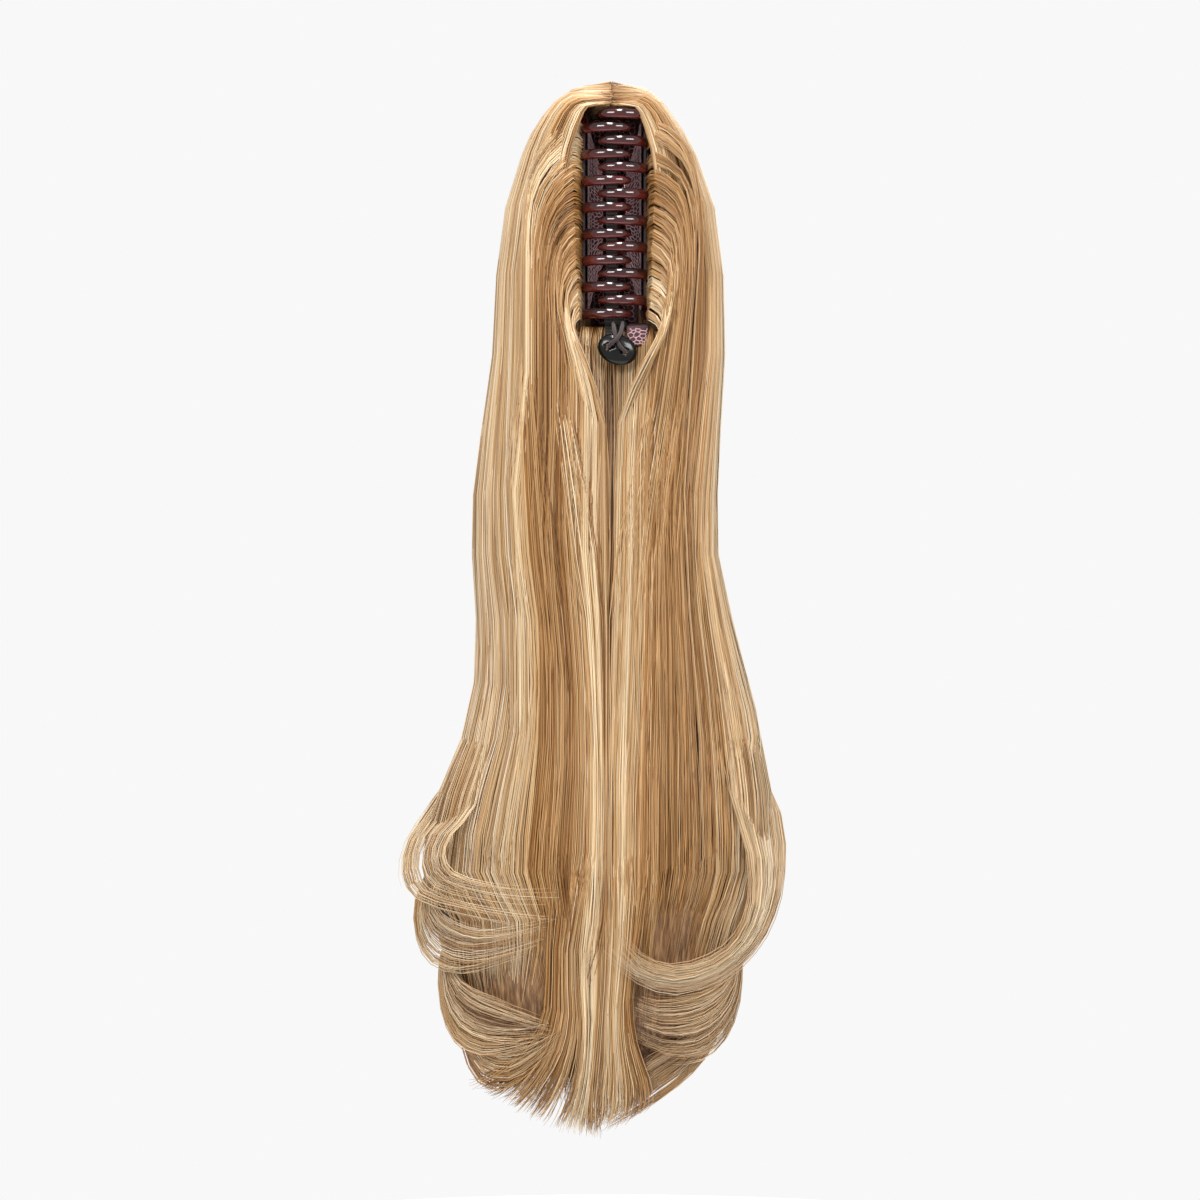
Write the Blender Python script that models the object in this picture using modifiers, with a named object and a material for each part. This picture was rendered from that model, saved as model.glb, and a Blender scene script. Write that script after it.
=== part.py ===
"""A clip-on ponytail hairpiece, built as the real one is: two toothed jaws that hinge on a pin and
are shut by a spring, stretch net sewn over and inside each jaw, wefts of long hair sewn to that net,
a centre band that ends in a two-hole toggle on a loop of elastic, and the fall of hair below it.

Metres, +Z up. The hair hangs along -Z and the jaws' teeth face -Y. The origin is the middle of
the space between the closed jaws, where the wearer's own gathered hair goes.
"""

import math

import bmesh
import bpy
from mathutils import Matrix, Vector

MM = 0.001
GAP = 0.3  # mm left between pieces that touch
BEYOND = 90.0  # mm, past any surface that a cutter has to leave by

# The jaws, in mm. Rows run along the right jaw from the hinge to the teeth, seen from above.
PIN_Y = 13.0
PIN_RADIUS = 1.2
PIN_HALF_LENGTH = 16.9
PIN_HEAD_RIM = 0.8
PIN_HEAD_HEIGHT = 0.7
KNUCKLE_RADIUS = 3.3
KNUCKLE_HOLE = 1.6
TOOTH_PITCH = 11.55
TEETH = 8
FIRST_TOOTH_Z = {"right": 43.2, "left": 37.4}
RAIL_THICKNESS = 2.0
RAIL_ROWS = (  # x, y, half_height
    (4.7, 12.4, 20.0),
    (8.3, 10.6, 27.0),
    (11.4, 7.4, 35.0),
    (13.3, 3.0, 42.0),
    (13.9, -2.0, 45.0),
    (13.8, -5.0, 45.4),
)
TOOTH_ROWS = (  # x, y, radius
    (13.8, -3.4, 1.70),
    (13.9, -7.6, 1.75),
    (12.3, -12.2, 1.80),
    (8.4, -15.3, 1.80),
    (2.6, -16.7, 1.75),
    (-2.8, -16.2, 1.50),
    (-6.2, -14.2, 1.10),
    (-7.0, -13.4, 0.60),
)
LEVER_THICKNESS = 2.2
LEVER_ROWS = (  # x, y, half_height
    (4.2, 16.6, 15.9),
    (8.0, 21.6, 14.5),
    (11.6, 26.2, 13.5),
    (14.6, 29.0, 11.0),
)
WEB_OUTLINE = ((0.0, 10.4), (5.6, 11.2), (5.2, 17.4), (0.0, 15.8))  # ties knuckle, rail and lever
KNUCKLES = {  # lowest and highest z of each knuckle
    "right": ((-16.0, -12.2), (12.2, 16.0)),
    "left": ((-11.8, -8.0), (8.0, 11.8)),
}
SPRING_WIRE = 0.9
SPRING_RADIUS = 2.4
SPRING_TURNS = 5
SPRING_STEPS = 10  # points in a turn
SPRING_HALF_LENGTH = 6.6

# The net on the right jaw, in mm, and the bands.
NET_THICKNESS = 1.0
COVER_ROWS = (  # x, y, half_height
    (6.9, 14.1, 22.0),
    (9.7, 12.3, 28.0),
    (13.1, 8.5, 37.0),
    (15.4, 3.4, 45.0),
    (16.3, -2.2, 47.0),
    (16.7, -6.4, 47.0),
    (17.0, -9.5, 46.0),
)
LINING_ROWS = (  # x, y, half_height
    (4.9, 9.9, 20.0),
    (7.2, 8.2, 25.0),
    (9.8, 5.4, 34.0),
    (11.4, 2.0, 41.0),
    (11.9, -0.9, 44.0),
)
SPINE_Y = 20.6
SPINE_HALF_WIDTH = 10.5
SPINE_HALF_HEIGHT = 46.0
SPINE_WINDOW = (9.3, 16.6)  # half width and half height of the gap that the levers pass
FLAP_ROWS = (  # x, y, z, half_width, half_thickness of the net flap below the right jaw
    (11.8, -1.0, -46.8, 2.6, 0.5),
    (11.4, -9.0, -47.9, 3.4, 0.5),
    (10.6, -15.2, -49.4, 3.6, 0.5),
    (10.2, -15.9, -53.5, 3.6, 0.5),
    (9.8, -15.7, -57.5, 2.8, 0.5),
)
BAND_ROWS = (  # x, y, z, half_width, half_thickness of the band inside the jaws
    (-1.2, 8.9, 44.0, 2.5, 0.5),
    (-1.2, 8.9, -36.0, 2.5, 0.5),
    (-0.8, 6.2, -43.5, 3.6, 0.5),
    (0.6, 0.0, -47.3, 5.0, 0.5),
    (0.6, -9.6, -49.0, 4.6, 0.5),
    (-2.4, -11.6, -51.5, 1.8, 0.5),
    (-2.4, -11.4, -56.0, 1.3, 0.5),
)

# The toggle and the elastic loop through it, in mm.
TOGGLE_CENTRE = (1.2, -18.6, -59.4)
TOGGLE_HALF = (8.8, 2.6, 6.6)
TOGGLE_TILT = 18.0  # degrees, right end down
TOGGLE_HOLE = 1.5
TOGGLE_HOLES_X = (-4.0, 3.6)
LOOP_RADIUS = 0.65
LOOP_STEPS = 3  # points from one of the loop's own points to the next
LOOP_POINTS = (  # x, y, z by hand: down to the right hole, behind the toggle, up from the left
    (-0.6, -5.6, -46.9),
    (-0.4, -14.6, -48.6),
    (0.0, -20.0, -51.6),
    (0.8, -22.3, -55.2),
    (2.6, -23.0, -58.6),
    (4.4, -22.3, -60.3),
    (4.62, -20.0, -60.55),
    (4.62, -17.0, -60.5),
    (4.2, -14.4, -60.1),
    (1.0, -13.4, -59.0),
    (-2.0, -14.4, -58.0),
    (-2.6, -17.0, -58.15),
    (-2.6, -20.0, -58.15),
    (-2.3, -22.6, -57.8),
    (-1.0, -24.0, -56.8),
    (1.0, -23.8, -55.0),
    (2.6, -20.6, -52.2),
    (3.4, -14.8, -48.6),
    (3.6, -5.6, -46.9),
)

# The hair, in mm: one row for each level, top to bottom.
HAIR_ROWS = (  # z, left, right, front, back
    (59.0, -12.0, 10.0, -4.0, 16.0),
    (56.0, -19.5, 15.5, -11.0, 25.0),
    (50.0, -27.5, 21.8, -16.0, 33.0),
    (42.0, -35.0, 29.5, -19.0, 39.0),
    (30.0, -40.5, 36.2, -21.0, 43.0),
    (10.0, -47.5, 43.6, -22.0, 46.0),
    (-15.0, -51.4, 48.0, -23.0, 47.0),
    (-50.0, -53.5, 49.2, -24.0, 46.0),
    (-80.0, -56.0, 48.4, -24.0, 42.0),
    (-110.0, -61.3, 46.2, -24.0, 37.0),
    (-140.0, -62.8, 45.4, -24.0, 33.0),
    (-165.0, -61.5, 48.6, -24.0, 31.0),
    (-205.0, -61.6, 60.0, -26.0, 31.0),
    (-228.0, -66.0, 64.8, -28.0, 31.0),
    (-250.0, -77.5, 70.0, -31.0, 31.0),
    (-270.0, -89.0, 72.8, -34.0, 31.0),
    (-284.0, -94.2, 72.4, -36.0, 30.0),
    (-296.0, -89.0, 69.5, -36.0, 29.0),
    (-303.0, -85.0, 66.5, -35.0, 28.0),
    (-318.0, -84.5, 57.5, -34.0, 26.0),
    (-327.0, -75.0, 53.4, -33.0, 24.0),
    (-345.0, -72.6, 52.0, -31.0, 21.0),
    (-362.0, -68.0, 44.2, -28.0, 17.0),
    (-371.0, -61.5, 32.2, -26.0, 14.0),
    (-380.0, -52.5, 22.6, -23.0, 11.0),
    (-388.0, -39.5, 14.0, -20.0, 8.0),
    (-396.0, -27.0, 3.0, -17.0, 4.0),
    (-401.0, -15.0, -7.0, -13.0, -5.0),
)
RING_POINTS = 64
RING_FULLNESS = 0.84  # 1 is an ellipse, less is fuller at its corners
LOCKS = 16  # raised locks round the fall
LOCK_DEPTH = 2.2
LOCK_FULL_WIDTH = 80.0  # the fall is this wide where its locks reach their full depth
LOCK_ROUNDNESS = 0.7
LOCK_DRIFT = 0.14  # radians that the locks wander as they fall
DRIFT_LENGTH = 90.0  # mm of fall to a radian of that wandering
VALLEY_ROWS = (  # z, depth, half_width of the parting below the toggle
    (-38.0, 0.0, 12.0),
    (-48.0, 16.5, 18.0),
    (-68.0, 14.5, 15.0),
    (-90.0, 7.5, 8.0),
    (-115.0, 3.0, 5.0),
    (-140.0, 0.0, 4.0),
)
CURLS = {  # x, y, z, half_width, half_thickness along each turned-in lock
    "upper left": (
        (-74.0, -14.0, -248.0, 10.0, 7.0),
        (-84.0, -21.0, -272.0, 11.0, 7.0),
        (-82.0, -29.5, -289.0, 10.0, 6.5),
        (-66.0, -34.5, -296.0, 8.5, 5.5),
        (-46.0, -36.0, -296.0, 6.5, 4.5),
        (-28.0, -35.0, -291.0, 3.0, 2.5),
    ),
    "middle left": (
        (-70.0, -13.0, -298.5, 9.0, 6.0),
        (-76.0, -23.0, -313.0, 9.0, 6.0),
        (-68.0, -31.0, -319.5, 8.0, 5.5),
        (-50.0, -34.0, -315.0, 6.5, 4.5),
        (-30.0, -33.5, -306.0, 3.0, 2.5),
    ),
    "lower left": (
        (-64.0, -14.0, -326.0, 10.0, 6.0),
        (-66.0, -26.0, -345.0, 11.0, 6.0),
        (-54.0, -32.0, -356.0, 9.5, 5.5),
        (-36.0, -33.0, -356.0, 7.0, 4.5),
        (-22.0, -31.0, -354.0, 3.0, 2.5),
    ),
    "upper right": (
        (58.0, -14.0, -262.0, 12.0, 7.0),
        (60.0, -26.0, -290.0, 12.0, 7.0),
        (50.0, -31.5, -307.0, 10.0, 6.5),
        (34.0, -35.0, -314.0, 8.0, 5.5),
        (18.0, -35.5, -311.0, 5.5, 4.5),
        (5.0, -34.0, -303.0, 2.5, 2.5),
    ),
    "lower right": (
        (43.0, -10.0, -322.0, 9.0, 6.5),
        (43.0, -22.0, -340.5, 9.5, 6.5),
        (36.0, -28.5, -352.0, 9.0, 6.0),
        (22.0, -33.0, -355.0, 7.0, 4.5),
        (8.0, -33.0, -349.0, 3.0, 2.5),
    ),
    "centre": (
        (-2.0, -16.0, -300.0, 9.0, 8.0),
        (-4.0, -24.0, -330.0, 12.0, 9.0),
        (-8.0, -24.0, -358.0, 17.0, 8.0),
        (-12.0, -19.0, -382.0, 15.0, 6.0),
        (-13.0, -12.0, -397.4, 6.0, 3.0),
    ),
}
CURL_RING = 10

# The room round the jaws, in mm: what the open jaws sweep, and what the closed ones fill.
SWEEP_OUTLINE = (  # x, y of its right half, round a jaw opened by 35 degrees
    (28.4, -BEYOND),
    (28.4, 6.6),
    (23.9, 12.0),
    (19.4, 16.0),
    (14.2, 18.8),
    (10.9, 19.8),
    (10.9, 21.5),
)
SWEEP_Z = (-50.0, 48.7)
LEVER_BOX = (17.6, 15.0, 36.4, -18.5, 18.5)  # half_width, y from, y to, z from, z to
CLAW_BOX = (17.9, -BEYOND, 21.0, -55.0, 47.5)  # half_width, y from, y to, z from, z to
PART_X = -4.0  # where the wefts of the left and the right jaw part above the first tooth
WEFT_FLOOR = -49.6


def start_scene():
    for leftover in list(bpy.data.objects):
        bpy.data.objects.remove(leftover)
    made = {}
    for name in ("ponytail_hairpiece", "cutters"):
        made[name] = bpy.data.collections.new(name)
        bpy.context.scene.collection.children.link(made[name])
    made["cutters"].hide_render = True
    return made["ponytail_hairpiece"], made["cutters"]


PARTS, CUTTERS = start_scene()


def material(name, colour, roughness, metallic=0.0):
    made = bpy.data.materials.new(name)
    made.use_nodes = True
    shader = made.node_tree.nodes["Principled BSDF"]
    shader.inputs["Base Color"].default_value = (*colour, 1.0)
    shader.inputs["Roughness"].default_value = roughness
    shader.inputs["Metallic"].default_value = metallic
    return made


HAIR = material("blond_hair", (0.62, 0.42, 0.22), 0.45)
CLAW_PLASTIC = material("red_brown_plastic", (0.16, 0.02, 0.015), 0.12)
NET = material("plum_net", (0.10, 0.045, 0.055), 0.8)
BLACK_PLASTIC = material("black_plastic", (0.015, 0.018, 0.017), 0.2)
BAND = material("black_band", (0.02, 0.022, 0.02), 0.75)
ELASTIC = material("plum_elastic", (0.09, 0.04, 0.045), 0.7)
STEEL = material("spring_steel", (0.6, 0.6, 0.6), 0.3, 1.0)


def add(name, mesh, finish):
    made = bpy.data.objects.new(name, mesh)
    PARTS.objects.link(made)
    if finish:
        mesh.materials.clear()
        mesh.materials.append(finish)
    return made


def loft(name, rings, finish=None):
    """One closed body through rings of the same number of points, given in mm."""
    shape = bmesh.new()
    built = [[shape.verts.new(Vector(p) * MM) for p in ring] for ring in rings]
    for low, high in zip(built, built[1:]):
        for k in range(len(low)):
            after = (k + 1) % len(low)
            shape.faces.new((low[k], low[after], high[after], high[k]))
    shape.faces.new(list(reversed(built[0])))
    shape.faces.new(built[-1])
    bmesh.ops.recalc_face_normals(shape, faces=shape.faces)
    mesh = bpy.data.meshes.new(name)
    shape.to_mesh(mesh)
    shape.free()
    return add(name, mesh, finish)


def prism(name, outline, low, high, finish=None):
    """An outline in the XY plane raised from z low to z high, in mm."""
    return loft(name, [[(x, y, z) for x, y in outline] for z in (low, high)], finish)


def box(name, half_width, y_from, y_to, z_from, z_to):
    corners = ((-half_width, y_from), (half_width, y_from), (half_width, y_to), (-half_width, y_to))
    return prism(name, corners, z_from, z_to)


def evaluated_mesh(thing):
    bpy.context.view_layer.update()
    graph = bpy.context.evaluated_depsgraph_get()
    return bpy.data.meshes.new_from_object(thing.evaluated_get(graph), depsgraph=graph)


def fixed(thing):
    """The object with its modifiers applied, as a mesh in the same place."""
    mesh = evaluated_mesh(thing)
    thing.modifiers.clear()
    thing.data = mesh
    return thing


def boolean(thing, other, operation, keep=False):
    """Cuts, joins or intersects thing with other, which becomes a cutter or is removed."""
    step = thing.modifiers.new(operation.lower(), "BOOLEAN")
    step.operation = operation
    step.object = other
    fixed(thing)
    if not keep:
        bpy.data.objects.remove(other)
    return thing


def duplicate(thing, name):
    copy = thing.copy()
    copy.data = thing.data.copy()
    copy.name = name
    PARTS.objects.link(copy)
    return copy


def directions(points):
    """The unit direction of a path at each of its points."""
    ends = [points[0]] + list(points) + [points[-1]]
    return [(b - a).normalized() for a, b in zip(ends, ends[2:])]


def strip(name, rows, thickness, side, finish):
    """A curved wall that stands along Z and follows x, y of its rows, each row with a half height."""
    path = [Vector((side * x, y, 0.0)) for x, y, _ in rows]
    rings = []
    for point, along, row in zip(path, directions(path), rows):
        across = along.cross(Vector((0.0, 0.0, 1.0))) * (thickness / 2)
        up = Vector((0.0, 0.0, row[2]))
        rings.append([point + across + up, point - across + up, point - across - up, point + across - up])
    return loft(name, rings, finish)


def ribbon(name, rows, sides, finish=None):
    """A body through rows of x, y, z, half_width, half_thickness. A lock's flat side faces -Y; a
    band of four sides keeps its width along X."""
    path = [Vector(row[:3]) for row in rows]
    rings = []
    for point, along, row in zip(path, directions(path), rows):
        wide = along.cross(Vector((0.0, -1.0, 0.0))).normalized()
        if sides == 4:
            wide = (Vector((1.0, 0.0, 0.0)) - along * along.x).normalized()
        thick = wide.cross(along).normalized()
        ring = []
        for k in range(sides):
            angle = 2 * math.pi * (k + 0.5) / sides
            reach = math.sqrt(2) if sides == 4 else 1.0
            ring.append(
                point + wide * (row[3] * reach * math.cos(angle)) + thick * (row[4] * reach * math.sin(angle))
            )
        rings.append(ring)
    return loft(name, rings, finish)


def smooth_path(points, steps):
    """A Catmull-Rom curve through points, with so many steps between two of them."""
    ends = [points[0] * 2 - points[1]] + points + [points[-1] * 2 - points[-2]]
    path = []
    for a, b, c, d in zip(ends, ends[1:], ends[2:], ends[3:]):
        for k in range(steps):
            t = k / steps
            bend = 2 * a - 5 * b + 4 * c - d
            twist = 3 * b - a - 3 * c + d
            path.append(0.5 * (2 * b + (c - a) * t + bend * t**2 + twist * t**3))
    return path + [points[-1]]


def tube(name, points, radii, resolution, finish):
    """A round tube along points in mm, as a capped curve made a mesh."""
    curve = bpy.data.curves.new(name + "_line", "CURVE")
    curve.dimensions = "3D"
    curve.bevel_depth = MM
    curve.bevel_resolution = resolution
    curve.use_fill_caps = True
    spline = curve.splines.new("POLY")
    spline.points.add(len(points) - 1)
    for place, point, radius in zip(spline.points, points, radii):
        place.co = (*(Vector(point) * MM), 1.0)
        place.radius = radius
    line = bpy.data.objects.new(name + "_line", curve)
    PARTS.objects.link(line)
    mesh = evaluated_mesh(line)
    bpy.data.objects.remove(line)
    shape = bmesh.new()
    shape.from_mesh(mesh)
    bmesh.ops.remove_doubles(shape, verts=shape.verts, dist=0.00001)
    bmesh.ops.recalc_face_normals(shape, faces=shape.faces)
    shape.to_mesh(mesh)
    shape.free()
    return add(name, mesh, finish)


def cylinder(name, radius, z_from, z_to, sides=20, centre=(0.0, PIN_Y)):
    shape = bmesh.new()
    bmesh.ops.create_cone(
        shape,
        cap_ends=True,
        segments=sides,
        radius1=radius * MM,
        radius2=radius * MM,
        depth=(z_to - z_from) * MM,
        matrix=Matrix.Translation(Vector((*centre, (z_from + z_to) / 2)) * MM),
    )
    mesh = bpy.data.meshes.new(name)
    shape.to_mesh(mesh)
    shape.free()
    return add(name, mesh, None)


def make_jaw(side_name):
    """One jaw in one moulding: a rail, its teeth, two knuckles with webs, and the thumb lever."""
    side = 1 if side_name == "right" else -1
    jaw = strip("jaw_" + side_name, RAIL_ROWS, RAIL_THICKNESS, side, CLAW_PLASTIC)
    boolean(jaw, strip("lever", LEVER_ROWS, LEVER_THICKNESS, side, None), "UNION")
    for low, high in KNUCKLES[side_name]:
        boolean(jaw, prism("web", [(side * x, y) for x, y in WEB_OUTLINE], low, high), "UNION")
        boolean(jaw, cylinder("knuckle", KNUCKLE_RADIUS, low, high), "UNION")
    boolean(jaw, cylinder("bore", KNUCKLE_HOLE, -BEYOND, BEYOND), "DIFFERENCE")
    for k in range(TEETH):
        z = FIRST_TOOTH_Z[side_name] - k * TOOTH_PITCH
        path = [(side * x, y, z) for x, y, _ in TOOTH_ROWS]
        boolean(jaw, tube("tooth", path, [row[2] for row in TOOTH_ROWS], 2, None), "UNION")
    return jaw


def turned(name, profile, sides, finish):
    """A body turned round the hinge axis from a profile of radius and z, in mm, top to bottom."""
    mesh = bpy.data.meshes.new(name)
    places = [(radius * MM, 0.0, z * MM) for radius, z in profile]
    mesh.from_pydata(places, [(k, k + 1) for k in range(len(places) - 1)], [])
    body = add(name, mesh, finish)
    body.location = (0.0, PIN_Y * MM, 0.0)
    turn = body.modifiers.new("turn", "SCREW")
    turn.steps = turn.render_steps = sides
    turn.use_merge_vertices = True
    turn.merge_threshold = 0.00001
    return body


def make_hinge():
    """The steel pin with its two heads, and the coil that shuts the jaws, wound round it."""
    head = PIN_RADIUS + PIN_HEAD_RIM
    top = PIN_HALF_LENGTH + PIN_HEAD_HEIGHT
    profile = [(0.0, top), (head, top), (head, PIN_HALF_LENGTH), (PIN_RADIUS, PIN_HALF_LENGTH)]
    profile += [(radius, -z) for radius, z in reversed(profile)]
    turned("hinge_pin", profile, 12, STEEL)
    places = []
    steps = SPRING_TURNS * SPRING_STEPS
    for k in range(steps + 1):
        angle = 2 * math.pi * k / SPRING_STEPS
        z = -SPRING_HALF_LENGTH + 2 * SPRING_HALF_LENGTH * k / steps
        places.append((SPRING_RADIUS * math.cos(angle), PIN_Y + SPRING_RADIUS * math.sin(angle), z))
    tube("hinge_spring", places, [SPRING_WIRE / 2] * len(places), 1, STEEL)


def make_net():
    """Net over and inside each jaw, the net behind the hinge, the flap below and the centre band."""
    for side_name, side in (("left", -1), ("right", 1)):
        strip("net_cover_" + side_name, COVER_ROWS, NET_THICKNESS, side, NET)
        strip("net_lining_" + side_name, LINING_ROWS, NET_THICKNESS, side, NET)
    half = NET_THICKNESS / 2
    spine = box(
        "net_spine", SPINE_HALF_WIDTH, SPINE_Y - half, SPINE_Y + half, -SPINE_HALF_HEIGHT, SPINE_HALF_HEIGHT
    )
    spine.data.materials.append(NET)
    wide, high = SPINE_WINDOW
    boolean(spine, box("window", wide, 0.0, BEYOND, -high, high), "DIFFERENCE")
    ribbon("net_flap", FLAP_ROWS, 4, NET)
    ribbon("centre_band", BAND_ROWS, 4, BAND)


def make_toggle():
    """A glossy black bean of plastic with two holes, hung on the elastic that passes both."""
    shape = bmesh.new()
    bmesh.ops.create_uvsphere(shape, u_segments=20, v_segments=10, radius=MM)
    mesh = bpy.data.meshes.new("toggle")
    shape.to_mesh(mesh)
    shape.free()
    place = Matrix.Translation(Vector(TOGGLE_CENTRE) * MM)
    turn = Matrix.Rotation(math.radians(TOGGLE_TILT), 4, "Y")
    mesh.transform(place @ turn @ Matrix.Diagonal((*TOGGLE_HALF, 1.0)))
    toggle = add("toggle", mesh, BLACK_PLASTIC)
    for x in TOGGLE_HOLES_X:
        drill = cylinder("drill", TOGGLE_HOLE, -TOGGLE_HALF[0], TOGGLE_HALF[0], 10, (0.0, 0.0))
        drill.data.transform(
            place @ turn @ Matrix.Translation((x * MM, 0.0, 0.0)) @ Matrix.Rotation(math.pi / 2, 4, "X")
        )
        boolean(toggle, drill, "DIFFERENCE")
    path = smooth_path([Vector(point) for point in LOOP_POINTS], LOOP_STEPS)
    tube("elastic_loop", path, [LOOP_RADIUS] * len(path), 2, ELASTIC)


def between(rows, z):
    """The other columns of a table at height z, whose rows run from high to low."""
    if z >= rows[0][0]:
        return rows[0][1:]
    for upper, lower in zip(rows, rows[1:]):
        if upper[0] >= z >= lower[0]:
            share = (upper[0] - z) / (upper[0] - lower[0])
            return tuple(a + (b - a) * share for a, b in zip(upper[1:], lower[1:]))
    return rows[-1][1:]


def hair_ring(row):
    """The outline of the hair at one level: a full oval, raised in locks, with a parting in front."""
    z, left, right, front, back = row
    middle_x = (left + right) / 2
    middle_y = (front + back) / 2
    valley, valley_width = between(VALLEY_ROWS, z)
    depth = LOCK_DEPTH * min(1.0, (right - left) / LOCK_FULL_WIDTH)
    drift = LOCK_DRIFT * math.sin(z / DRIFT_LENGTH)
    ring = []
    for k in range(RING_POINTS):
        turn = 2 * math.pi * k / RING_POINTS
        angle = turn + drift
        across = math.copysign(abs(math.sin(angle)) ** RING_FULLNESS, math.sin(angle))
        forward = math.copysign(abs(math.cos(angle)) ** RING_FULLNESS, math.cos(angle))
        raised = abs(math.sin(turn * LOCKS / 2)) ** LOCK_ROUNDNESS
        inset = depth * (1 - raised)
        x = middle_x - across * ((right - left) / 2 - inset)
        y = middle_y - forward * ((back - front) / 2 - inset)
        if forward > 0:
            y += valley * math.exp(-((x / valley_width) ** 2))
        ring.append((x, y, z))
    return ring


def make_hair():
    """The fall with its turned-in curls, and in front of it the wefts that are sewn to each jaw."""
    whole = loft("hair_fall", [hair_ring(row) for row in HAIR_ROWS], HAIR)
    for rows in CURLS.values():
        boolean(whole, ribbon("curl", rows, CURL_RING), "UNION")
    left_half = [(-x, y) for x, y in reversed(SWEEP_OUTLINE)]
    room = prism("room", [*SWEEP_OUTLINE, *left_half], *SWEEP_Z)
    boolean(room, box("lever_room", *LEVER_BOX), "UNION")
    half_width, depth = SWEEP_OUTLINE[1]
    front = box("front", half_width - GAP, -BEYOND, depth, WEFT_FLOOR, SWEEP_Z[1] - GAP)
    claw = box("claw_room", *CLAW_BOX)
    for side_name, side in (("left", -1), ("right", 1)):
        weft = duplicate(whole, "weft_" + side_name)
        boolean(weft, front, "INTERSECT", keep=True)
        boolean(weft, claw, "DIFFERENCE", keep=True)
        near, far = sorted((PART_X + side * GAP / 2, side * BEYOND))
        outline = [(near, -BEYOND), (far, -BEYOND), (far, BEYOND), (near, BEYOND)]
        boolean(weft, prism("half", outline, -BEYOND, BEYOND), "INTERSECT")
    for cutter in (front, claw):
        bpy.data.objects.remove(cutter)
    boolean(whole, room, "DIFFERENCE")


make_jaw("left")
make_jaw("right")
make_hinge()
make_net()
make_toggle()
make_hair()
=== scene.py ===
import math

import bmesh
import bpy
import numpy as np
from mathutils import Matrix, Vector


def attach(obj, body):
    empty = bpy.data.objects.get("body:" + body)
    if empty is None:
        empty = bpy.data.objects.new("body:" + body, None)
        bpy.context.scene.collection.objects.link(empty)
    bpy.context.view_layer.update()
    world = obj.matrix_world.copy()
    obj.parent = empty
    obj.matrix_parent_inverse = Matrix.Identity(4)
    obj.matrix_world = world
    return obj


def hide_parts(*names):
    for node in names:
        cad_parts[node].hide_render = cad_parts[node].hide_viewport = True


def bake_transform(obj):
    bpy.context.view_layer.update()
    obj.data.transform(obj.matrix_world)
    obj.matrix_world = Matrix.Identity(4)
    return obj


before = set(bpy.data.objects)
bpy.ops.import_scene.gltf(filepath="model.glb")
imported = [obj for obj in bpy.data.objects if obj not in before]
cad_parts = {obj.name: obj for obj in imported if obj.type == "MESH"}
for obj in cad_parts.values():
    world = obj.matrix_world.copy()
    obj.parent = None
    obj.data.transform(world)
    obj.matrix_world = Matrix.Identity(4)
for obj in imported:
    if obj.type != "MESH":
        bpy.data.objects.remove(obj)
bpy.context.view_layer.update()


# The studio: a pale floor below the hanging hair, two square softboxes in front, a wide one
# overhead and one behind, and the camera level with the middle of the fall, straight on.


def new_object(name, data):
    made = bpy.data.objects.new(name, data)
    bpy.context.scene.collection.objects.link(made)
    return made


def set_inputs(node, values):
    for name, value in values.items():
        node.inputs[name].default_value = value


def new_node(nodes, kind, values):
    """A node with the values of its inputs by name."""
    made = nodes.new(kind)
    set_inputs(made, values)
    return made


def join_up(links, *ends):
    """Joins each (node, output, node, input)."""
    for source, output, target, socket in ends:
        links.new(source.outputs[output], target.inputs[socket])


view = bpy.context.scene.view_settings
view.view_transform = "Standard"
view.look = "None"

camera = new_object("camera", bpy.data.cameras.new("camera"))
camera.data.lens = 100.0
camera.data.sensor_width = 36.0
camera.data.clip_end = 20.0
camera.location = (-0.0063, -1.462, -0.1679)
camera.rotation_euler = (math.radians(90.0), 0.0, 0.0)
bpy.context.scene.camera = camera

for light_name, place, aim, width, height, watts in (
    ("softbox_left", (-0.75, -1.25, 0.55), (0.0, 0.0, -0.10), 0.60, 0.60, 15.0),
    ("softbox_right", (0.80, -1.15, 0.50), (0.0, 0.0, -0.10), 0.60, 0.60, 13.0),
    ("softbox_top", (0.0, -0.45, 1.10), (0.0, 0.0, 0.0), 0.24, 0.70, 11.0),
    ("softbox_back", (0.3, 1.40, 0.55), (0.0, 0.0, -0.15), 1.00, 1.00, 12.0),
):
    lamp = bpy.data.lights.new(light_name, "AREA")
    lamp.shape = "RECTANGLE"
    lamp.size = width
    lamp.size_y = height
    lamp.energy = watts
    lamp_object = new_object(light_name, lamp)
    lamp_object.location = place
    lamp_object.rotation_euler = (Vector(aim) - Vector(place)).to_track_quat("-Z", "Y").to_euler()

studio_world = bpy.data.worlds.new("studio")
studio_world.use_nodes = True
world_nodes = studio_world.node_tree.nodes
world_links = studio_world.node_tree.links
world_nodes.clear()
world_out = world_nodes.new("ShaderNodeOutputWorld")
world_mix = world_nodes.new("ShaderNodeMixShader")
world_light = new_node(
    world_nodes, "ShaderNodeBackground", {"Color": (0.97, 0.98, 1.0, 1.0), "Strength": 0.55}
)
world_seen = new_node(world_nodes, "ShaderNodeBackground", {"Color": (0.939, 0.939, 0.939, 1.0)})
world_path = world_nodes.new("ShaderNodeLightPath")
join_up(
    world_links,
    (world_path, "Is Camera Ray", world_mix, "Fac"),
    (world_light, 0, world_mix, 1),
    (world_seen, 0, world_mix, 2),
    (world_mix, 0, world_out, "Surface"),
)
bpy.context.scene.world = studio_world

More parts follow.
